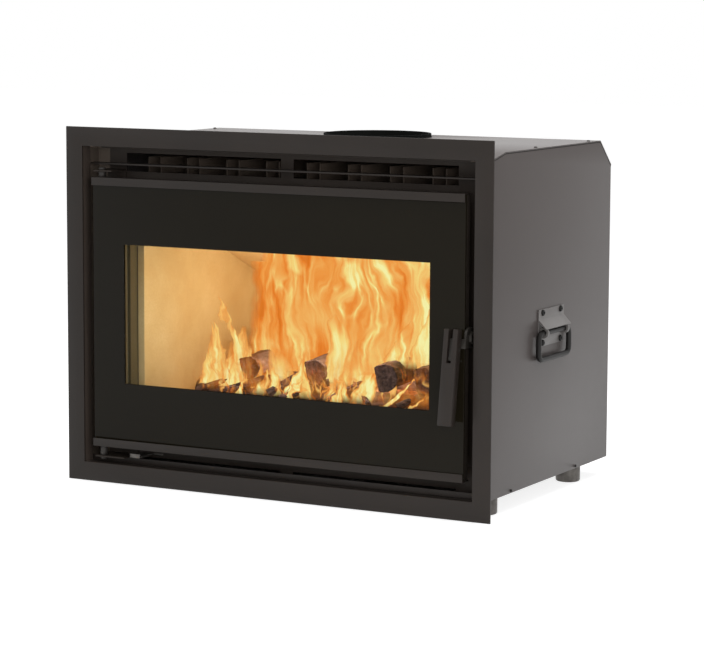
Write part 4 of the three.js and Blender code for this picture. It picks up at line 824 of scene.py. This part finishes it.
# ------------------------------------------------------------------------ sticks
# Thinner sticks, split and burnt like the logs, that lean on the front log. Each has
# its low end, its high end and its radius.
STICKS = (
    ((-206, 102, 157), (-128, 124, 186), 6),
    ((-152, 92, 158), (-66, 128, 188), 8),
    ((-60, 94, 162), (-16, 130, 194), 9),
    ((-34, 88, 157), (44, 122, 187), 7),
    ((58, 92, 160), (112, 128, 192), 8),
    ((134, 88, 158), (86, 128, 190), 7),
    ((188, 88, 160), (238, 126, 188), 7),
)
for count, (low_end, high_end, radius) in enumerate(STICKS):
    ends = inside(*low_end), inside(*high_end)
    seed = 71.0 + 7.0 * count
    split_wood(f"stick_{count + 1}", *ends, radius * MM, lying_char, seed)

# --------------------------------------------------------------------- ember bed
# Burnt-down wood round the logs: a heap of broken coals, with ash on top, that glows
# from below. It lies on the hearth board, deepest at its front right corner.
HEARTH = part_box("lining_floor")[1].z
BED_LEFT, BED_RIGHT, BED_FRONT, BED_REAR = -236, 274, 104, 402
BED_ACROSS, BED_DEEP = 170, 100
BED_SHORE = 26
BED_HEIGHT, WIDE_LUMPS, SMALL_LUMPS = 11, 5, 9
HEAP_PLACE, HEAP_SIZE, HEAP_HEIGHT = (236, 118), (46, 26), 27
OFF_HEARTH = 0.4 * MM
COAL_GLOW = (
    (0.0, tone(60, 26, 14)),
    (0.45, tone(160, 66, 28)),
    (1.0, tone(244, 132, 60)),
)
coals = Finish("glowing coals")
coal_cells = coals.cells("DISTANCE_TO_EDGE", 95.0)
coal_heat = coals.cloud(22.0, 4.0)
coal_ash = coals.cloud(150.0, 5.0, roughness=0.7)
coal_top = coals.between(coal_ash, 0.45, 0.6)
coal_glow = coals.between(coal_cells, 0.2, 0.0) * coals.between(coal_heat, 0.42, 0.62)
ember_coals = coals.skin(
    Base_Color=coals.mixed(coal_top, tone(62, 38, 30), tone(176, 116, 88)),
    Roughness=coals.between(coal_ash, 0.3, 0.7, 0.8, 0.95),
    Emission_Color=coals.ramp(coal_glow, *COAL_GLOW),
    Emission_Strength=0.8,
    Normal=coals.bumped(coal_ash + coal_cells, 0.6, 0.002),
)


def on_coals(x, y, above=0.0):
    """A place on the coals, or above them, from a place in millimetres."""
    sides = min(x - BED_LEFT, BED_RIGHT - x, y - BED_FRONT, BED_REAR - y)
    hill = min(1.0, max(0.0, sides / BED_SHORE)) ** 0.6
    lumps = noise.noise(Vector((x * 0.03, y * 0.03, 2.0))) * WIDE_LUMPS
    lumps += abs(noise.noise(Vector((x * 0.085, y * 0.085, 7.0)))) * SMALL_LUMPS
    away = math.hypot(
        (x - HEAP_PLACE[0]) / HEAP_SIZE[0], (y - HEAP_PLACE[1]) / HEAP_SIZE[1]
    )
    heap = HEAP_HEIGHT * math.exp(-away * away)
    height = 1.0 + hill * (BED_HEIGHT + lumps + heap)
    return Vector((x * MM, depth(y), HEARTH + (height + above) * MM))


def ember_bed():
    """The heap: an uneven top, and a skirt down to the hearth board."""
    bed = bmesh.new()
    rows = []
    for j in range(BED_DEEP + 1):
        y = BED_FRONT + (BED_REAR - BED_FRONT) * j / BED_DEEP
        row = []
        for i in range(BED_ACROSS + 1):
            x = BED_LEFT + (BED_RIGHT - BED_LEFT) * i / BED_ACROSS
            row.append(bed.verts.new(on_coals(x, y)))
        rows.append(row)
    bridge(bed, rows, closed=False)
    rim = [e for e in bed.edges if e.is_boundary]
    skirt = bmesh.ops.extrude_edge_only(bed, edges=rim)["geom"]
    for vert in (g for g in skirt if isinstance(g, bmesh.types.BMVert)):
        vert.co.z = HEARTH + OFF_HEARTH
    bmesh.ops.holes_fill(bed, edges=[e for e in bed.edges if e.is_boundary], sides=0)
    new_piece("ember_bed", bed, ember_coals)


ember_bed()

# ------------------------------------------------------------------- loose coals
# Broken coals, rounded by the fire, that lie half sunk in the heap. Chance gives each
# its place, size, turn and shape.
COAL_COUNT, COAL_CHANCE = 90, 5
COALS_LEFT, COALS_RIGHT = BED_LEFT + 12, BED_RIGHT - 12
COALS_FRONT, COALS_REAR = BED_FRONT + 8, 330
COAL_SIZES = (5, 11)
COAL_WIDTHS, COAL_DEPTHS, COAL_HEIGHT = (0.8, 1.6), (0.7, 1.2), 0.8
COAL_RISE = 0.35
COAL_DENTS = 0.55


def loose_coals():
    """All the loose coals, as one piece."""
    heap = bmesh.new()
    pick = random.Random(COAL_CHANCE)
    for count in range(COAL_COUNT):
        x = pick.uniform(COALS_LEFT, COALS_RIGHT)
        y = pick.uniform(COALS_FRONT, COALS_REAR)
        size = pick.uniform(*COAL_SIZES)
        place = on_coals(x, y, size * COAL_RISE)
        wide, deep = pick.uniform(*COAL_WIDTHS), pick.uniform(*COAL_DEPTHS)
        stretch = Matrix.Diagonal((wide, deep, COAL_HEIGHT, 1.0))
        turn = Matrix.Rotation(pick.uniform(0, math.pi), 4, "Z")
        spot = Matrix.Translation(place) @ turn @ stretch
        lump = bmesh.ops.create_icosphere(
            heap, subdivisions=2, radius=size * MM, matrix=spot
        )
        for vert in lump["verts"]:
            shift = noise.noise(vert.co * 160 + Vector((count, 0, 0)))
            vert.co += (vert.co - place) * shift * COAL_DENTS
    new_piece("loose_coals", heap, ember_coals)


loose_coals()

# ------------------------------------------------------------------------- flames
# Sheets of burning gas, one behind the other. Each sheet is curved like a sail. The
# gas decides where the sheet is clear, how high its tongues reach and how hot they are.
CLEAR = (0.0, 0.0, 0.0, 1.0)
FLAME_TONES = (
    (0.0, tone(228, 122, 36)),
    (0.14, tone(240, 134, 46)),
    (0.36, tone(248, 162, 74)),
    (0.58, tone(251, 188, 102)),
    (0.78, tone(254, 220, 128)),
    (1.0, tone(255, 249, 172)),
)
CURL = 12 * MM
SHORE, SHORE_FADE = 50 * MM, 22 * MM
ROOT_FADE = 14 * MM
WOOD_LEFT, WOOD_RIGHT, HAZE_RIGHT, WOOD_FADE = -180, 120, 290, 30
LACE_FROM, LACE_TO = 25 * MM, 75 * MM
HAZE_FROM, HAZE_TO = 20 * MM, 100 * MM
SAIL_ACROSS, SAIL_UP = 90, 30
RIPPLE = 9


class Gas(Finish):
    """Burning gas, whose coordinates lean and curl more and more as it rises."""

    def __init__(self, name, seed, base, lean, sway=8.0):
        super().__init__(name)
        self.seed = seed
        self.straight, _, self.z = self.axes()
        self.x = self.straight
        self.rise = self.z - base * MM
        drift = self.pattern(sway, sway * 0.7, 2.0) - 0.5
        flutter = self.pattern(sway * 4.2, sway * 3.4, 2.0, 40.0) - 0.5
        high = self.rise.at_least(0.0)
        self.x = self.straight + drift * high * (2.0 * lean) + flutter * (2.0 * CURL)

    def pattern(self, across, along, detail, shift=0.0):
        """Noise with so many features to the metre across and along the rise."""
        inputs = {0: self.x * across, 1: self.z * along, 2: self.seed + shift}
        return self.cloud(1.0, detail, self.make("CombineXYZ", inputs=inputs), 0.5)

    def veins(self, across, along, thin, shift):
        """Thin bright lines, where one tongue folds over the next."""
        off = self.pattern(across, along, 1.0, shift) - 0.5
        return self.between(abs(off), thin, 0.0)

    def within(self, left, right, soft):
        """One between two sides of the sheet, falling softly to nothing outside."""
        from_left = self.between(self.straight, (left - soft) * MM, (left + soft) * MM)
        from_right = self.between(self.straight, (right + soft) * MM, (right - soft) * MM)
        return from_left * from_right

    def glow(self, heat, cover):
        """The finished gas, as bright as its heat and as dense as its cover."""
        self.material.cycles.emission_sampling = "NONE"
        return self.skin(
            Base_Color=CLEAR,
            Roughness=1.0,
            Specular_IOR_Level=0.0,
            Emission_Color=self.ramp(heat, *FLAME_TONES),
            Emission_Strength=1.0,
            Alpha=cover,
        )


def wall_of_fire(name, seed, base, left, lean, cover):
    """Gas that fills its sheet: amber, with soft streaks, deep patches and pale folds."""
    gas = Gas(name, seed, base, lean=0.35)
    broad = gas.between(gas.pattern(9.0, 6.0, 3.0), 0.3, 0.7)
    streaks = gas.between(gas.pattern(38.0, 6.0, 3.0, 11.0), 0.32, 0.68)
    torn = gas.between(gas.pattern(10.0, 13.0, 2.0, 41.0), 0.42, 0.58)
    folds = gas.veins(16.0, 5.0, 0.04, 3.0) * 0.3 + gas.veins(34.0, 9.0, 0.06, 7.0) * 0.28
    deep = gas.between(gas.pattern(19.0, 8.0, 1.0, 23.0), 0.53, 0.64)
    spots = gas.between(gas.pattern(13.0, 9.0, 1.0, 17.0), 0.64, 0.70)
    fine = gas.between(gas.pattern(110.0, 10.0, 4.0, 31.0), 0.34, 0.66) * 0.34
    right = gas.between(gas.x, -20 * MM, 200 * MM, 0.0, 0.24)
    edge = gas.x - left * MM - gas.rise * lean
    shore = gas.between(edge, 0.0, SHORE, 0.24, 0.0)
    heat = broad * 0.2 + streaks * 0.24 + fine + right
    heat = heat + folds * torn + spots * 0.3 - deep * 0.36 - shore
    dense = gas.between(broad + streaks, 0.1, 0.9, cover, 1.0)
    return gas.glow(heat, gas.between(edge, 0.0, SHORE_FADE) * dense)


def pointed(gas, tongues):
    """Height of the gas over the width: round at the root, drawn out at the tip."""
    top = None
    for x, height, half, lean in tongues:
        off = gas.x - x * MM - gas.rise * lean
        t = gas.between(abs(off), half * MM, 0.0)
        peak = t * t * (3.0 - t * 2.0) * (height * MM)
        top = top.at_least(peak) if top else peak
    return top


def tongues_of_fire(
    name, seed, base, across, soft, lean, cool, tongues=(), chance=(), lace=0.0, haze=0.0
):
    """Gas in separate tongues with bright hearts, cooler rims and clear gaps.

    Each tongue is its place, height, half width and lean. Chance gives uneven ones
    instead, between a least and a greatest height. Lace is how strongly curling
    threads show between the tongues near the wood, and haze how dense the dull glow
    is that hangs there.
    """
    gas = Gas(name, seed, base, lean, across * 0.45)
    sides = gas.within(WOOD_LEFT, HAZE_RIGHT if haze else WOOD_RIGHT, WOOD_FADE)
    licks = gas.between(gas.pattern(across * 2.3, across * 0.4, 1.0, 15.0), 0.34, 0.66)
    if chance:
        low, high = chance
        peaks = gas.between(gas.pattern(across, across * 0.12, 1.0, 5.0), 0.36, 0.68)
        top = (peaks * peaks * (high - low) + licks * (high - low) * 0.4 + low) * MM
        left_in = (top - gas.rise) * sides
    else:
        top = pointed(gas, tongues) * (0.75 + licks * 0.35) - 2.0 * MM
        left_in = top - gas.rise
    streaks = gas.between(gas.pattern(across * 3.5, across * 0.7, 2.0, 9.0), 0.3, 0.7)
    fine = gas.between(gas.pattern(across * 7, across * 0.8, 3.0, 19.0), 0.34, 0.66)
    heart = gas.between(left_in, 0.0, soft * 4 * MM)
    heat = heart * (0.84 - cool) + streaks * 0.44 + fine * 0.34 + cool - 0.4
    root = gas.between(gas.rise, 0.0, ROOT_FADE)
    body = gas.between(left_in, 0.0, soft * MM) * root
    body = body * gas.between(streaks * 0.8 + heart * 0.6, 0.1, 0.8, 0.4, 1.0)
    if lace:
        threads = gas.veins(across * 1.5, across * 0.6, 0.06, 27.0)
        threads = threads * gas.between(gas.rise, LACE_TO, LACE_FROM) * sides * root
        torn = gas.between(gas.pattern(across * 0.8, across * 0.8, 1.0, 35.0), 0.44, 0.56)
        threads = threads * torn * lace
        body = body.at_least(threads)
        heat = heat + threads * 0.34 - 0.04
    if haze:
        smoulder = gas.between(gas.pattern(across, across * 0.6, 3.0, 51.0), 0.4, 0.75)
        smoulder = smoulder * gas.between(gas.rise, HAZE_TO, HAZE_FROM, 0.0, haze)
        body = body.at_least(smoulder * sides * root)
    return gas.glow(heat, body)


def flame_sheet(name, gas, across, up, behind, bow, seed):
    """A sail across the chamber, deeper in the middle and rippled along its length."""
    left, right = across
    low, high = up
    sail = bmesh.new()
    rows = []
    for j in range(SAIL_UP + 1):
        t = j / SAIL_UP
        row = []
        for i in range(SAIL_ACROSS + 1):
            u = i / SAIL_ACROSS
            x = left + (right - left) * u
            wave = bow * math.sin(math.pi * u) * (0.5 + 0.5 * t)
            wave += RIPPLE * noise.noise(Vector((x * 0.014, t * 1.6, seed))) * (0.4 + t)
            spot = inside(x, behind + wave, low + (high - low) * t)
            row.append(sail.verts.new(spot))
        rows.append(row)
    bridge(sail, rows, closed=False)
    piece = new_piece(name, sail, gas)
    piece.visible_shadow = False


# Two walls of fire stand at the back, and the tongues rise before them.
rear_gas = wall_of_fire("rear fire", 2.0, 150, left=-232, lean=0.0, cover=0.85)
high_gas = wall_of_fire("high fire", 21.0, 150, left=-176, lean=0.10, cover=0.8)
flame_sheet("flame_rear", rear_gas, (-262, 272), (182, 356), 345, bow=-8, seed=1.3)
flame_sheet("flame_high", high_gas, (-215, 270), (186, 414), 208, bow=-12, seed=4.1)
middle_gas = tongues_of_fire(
    "middle fire", 33.0, 176, across=15.0, soft=14, lean=0.5, cool=0.26, chance=(14, 132)
)
flame_sheet("flame_middle", middle_gas, (-226, 268), (176, 392), 118, bow=6, seed=7.7)
LOW_TONGUES = (
    (-21, 84, 15, 0.4),
    (10, 84, 19, -0.2),
    (52, 44, 18, 0.3),
    (113, 76, 30, 0.2),
    (-78, 52, 18, 0.5),
    (-48, 70, 20, 0.1),
    (82, 54, 20, -0.1),
)
low_gas = tongues_of_fire(
    "low fire",
    70.0,
    158,
    across=27.0,
    soft=6,
    lean=0.6,
    cool=0.22,
    tongues=LOW_TONGUES,
    lace=0.95,
    haze=0.78,
)
flame_sheet("flame_low", low_gas, (-226, 268), (158, 270), 96, bow=4, seed=6.3)
LEFT_TONGUES = ((-176, 130, 42, 0.0), (-140, 112, 56, 0.2), (-120, 172, 22, -0.2))
left_gas = tongues_of_fire(
    "left fire", 61.0, 156, across=24.0, soft=9, lean=0.4, cool=0.4, tongues=LEFT_TONGUES
)
flame_sheet("flame_left", left_gas, (-230, -40), (156, 330), 110, bow=3, seed=2.2)
RIGHT_TONGUES = ((150, 88, 34, 0.4), (199, 124, 36, 0.2), (240, 100, 24, 0.1))
right_gas = tongues_of_fire(
    "right fire",
    83.0,
    214,
    across=20.0,
    soft=10,
    lean=0.5,
    cool=0.38,
    tongues=RIGHT_TONGUES,
)
flame_sheet("flame_right", right_gas, (116, 264), (214, 350), 146, bow=4, seed=5.5)
FRONT_TONGUES = (
    (158, 70, 11, 1.3),
    (-120, 40, 13, 0.9),
    (-20, 52, 14, 0.8),
    (70, 48, 20, 0.4),
    (206, 34, 8, 1.2),
)
front_gas = tongues_of_fire(
    "front fire",
    47.0,
    152,
    across=38.0,
    soft=4,
    lean=0.9,
    cool=0.18,
    tongues=FRONT_TONGUES,
    lace=0.9,
)
flame_sheet("flame_front", front_gas, (-222, 266), (152, 250), 84, bow=3, seed=9.2)

# ----------------------------------------------------------------- pane of the door
# Ceramic glass that covers the whole front of the door. It is printed black on its
# margins, up to a window whose sizes are in millimetres, and its face is smooth.
PANE_MIDDLE = 304.0
WINDOW_HALF_WIDTH = 288.0
WINDOW_BOTTOM = PANE_MIDDLE - 130.5
WINDOW_TOP = PANE_MIDDLE + 106.0
PRINT_EDGE = 0.4 * MM
GLASS_TINT = 0.05
pane = Finish("printed glass")
pane_x, _, pane_z = pane.axes()


def beyond(value, limit):
    """One where a value is past a limit of the window, in millimetres."""
    return pane.between(value, limit * MM - PRINT_EDGE, limit * MM + PRINT_EDGE)


printed = beyond(abs(pane_x), WINDOW_HALF_WIDTH)
printed = printed.at_least(beyond(pane_z, WINDOW_TOP))
printed = printed.at_least(1.0 - beyond(pane_z, WINDOW_BOTTOM))
pane_haze = pane.cloud(9.0, 3.0)
printed_glass = pane.skin(
    Base_Color=pane.mixed(pane_haze, tone(28, 24, 16), tone(32, 28, 19)),
    Roughness=pane.between(pane_haze, 0.3, 0.7, 0.05, 0.09),
    Specular_IOR_Level=0.1,
    Alpha=GLASS_TINT + printed * (1.0 - GLASS_TINT),
)
rolled("door_glass", printed_glass, edge=0.8, body="door")

# ----------------------------------------------------------- door frame and strips
# The steel frame of the door lies behind the pane. Two folded strips, painted like
# the surround, clasp the pane above and below.
# The door frame has the same painted firelight and reflection across the middle.
rolled("door_frame", firelit_steel, edge=0.3, body="door")
for strip in ("door_top_strip", "door_bottom_strip"):
    rolled(strip, trim_paint, edge=0.5, body="door")

# --------------------------------------------------------------- seals of the door
# A braided ceramic rope sits in the door frame and closes on the seat. A flat woven
# tape, dark with soot, lies between the pane and the frame.
rope = Finish("ceramic rope")
braid = rope.make(
    "TexWave",
    {"wave_type": "BANDS", "bands_direction": "DIAGONAL"},
    {"Vector": rope.place(), "Scale": 260.0, "Distortion": 1.5, "Detail": 1.0},
    output="Fac",
)
ceramic_rope = rope.skin(
    Base_Color=rope.mixed(braid, tone(92, 84, 62), tone(120, 112, 88)),
    Roughness=rope.between(braid, 0.0, 1.0, 0.9, 0.97),
    Normal=rope.bumped(braid, 0.6, 0.001),
)
rolled("door_rope_seal", ceramic_rope, edge=0.4, body="door")
sooty = Finish("sooty tape")
weave = sooty.cloud(900.0, 2.0)
sooty_tape = sooty.skin(
    Base_Color=sooty.mixed(weave, tone(46, 42, 32), tone(60, 54, 42)),
    Roughness=sooty.between(weave, 0.3, 0.7, 0.88, 0.97),
    Normal=sooty.bumped(weave, 0.4, 0.0006),
)
rolled("glass_gasket", sooty_tape, edge=0.4, body="door")

# ---------------------------------------------------------------- pins and bushes
# Turned steel, browned by oil and heat. The hinge pins are fixed in their brackets,
# and the bushes of the hinges and of the latch shaft sit in the door.
pin_steel = stove_paint("browned pin steel", tone(52, 48, 45), roughness=0.45, gloss=0.4)
for pin in ("hinge_pin_top", "hinge_pin_bottom"):
    rolled(pin, pin_steel, edge=0.3)
for bush in ("hinge_bush_top", "hinge_bush_bottom", "latch_bush"):
    rolled(bush, pin_steel, edge=0.3, body="door")

# -------------------------------------------------------------- handle and latch
# Flat steel grip, open at its top, on the tang of a hook plate that turns in the
# door's edge. Grip painted like the frame; plate, shaft and nut bare.
worn = Finish("dull steel")
worn_scratch = worn.cloud(1.0, 4.0, worn.stretched((40.0, 900.0, 900.0)))
worn_cloud = worn.cloud(60.0, 4.0)
dull_steel = worn.skin(
    Base_Color=worn.mixed(worn_cloud, tone(42, 39, 36), tone(64, 60, 55)),
    Roughness=worn.between(worn_scratch, 0.3, 0.7, 0.42, 0.58),
    Metallic=0.4,
    Normal=worn.bumped(worn_scratch, 0.1, 0.0003),
)
rolled("handle_grip", trim_paint, edge=0.35, body="handle")
for steel in ("handle_pin", "latch_arm", "latch_shaft"):
    rolled(steel, dull_steel, edge=0.3, body="handle")

# ----------------------------------------------------------- side carrying handles
# A folded bracket on each side holds a wire bail under its hood. Four black screws
# fix the bracket; the bail is round wire bent to a ring and welded.
BRACKET_TONE = tone(108, 104, 102)
BRACKET_SCREWS = ((-35.5, 312.5), (35.5, 312.5), (-35.5, 263.0), (35.5, 263.0))
BRACKET_SCREW_ACROSS = 10.5
BRACKET_PROUD = 2.3 * MM
bracket_paint = stove_paint("bracket paint", BRACKET_TONE, roughness=0.38, gloss=0.5)
bail_black = stove_paint("bail black", tone(26, 24, 23), roughness=0.5, gloss=0.3)
for side, hand in ((1, "right"), (-1, "left")):
    rolled("carry_bracket_" + hand, bracket_paint, edge=0.3)
    low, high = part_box("carry_bracket_" + hand)
    middle_y = (low.y + high.y) / 2
    face_x = side * (side_high.x + BRACKET_PROUD)
    for count, (along, height) in enumerate(BRACKET_SCREWS):
        place = (face_x, middle_y + along * MM, height * MM)
        name = f"bracket_screw_{hand}_{count + 1}"
        screw(name, place, (side, 0, 0), BRACKET_SCREW_ACROSS)
    body = "bail_" + hand
    bail = rolled("carry_bail_" + hand, bail_black, edge=0, body=body)
    smooth = bail.modifiers.new("round wire", "SUBSURF")
    smooth.levels = smooth.render_levels = 2
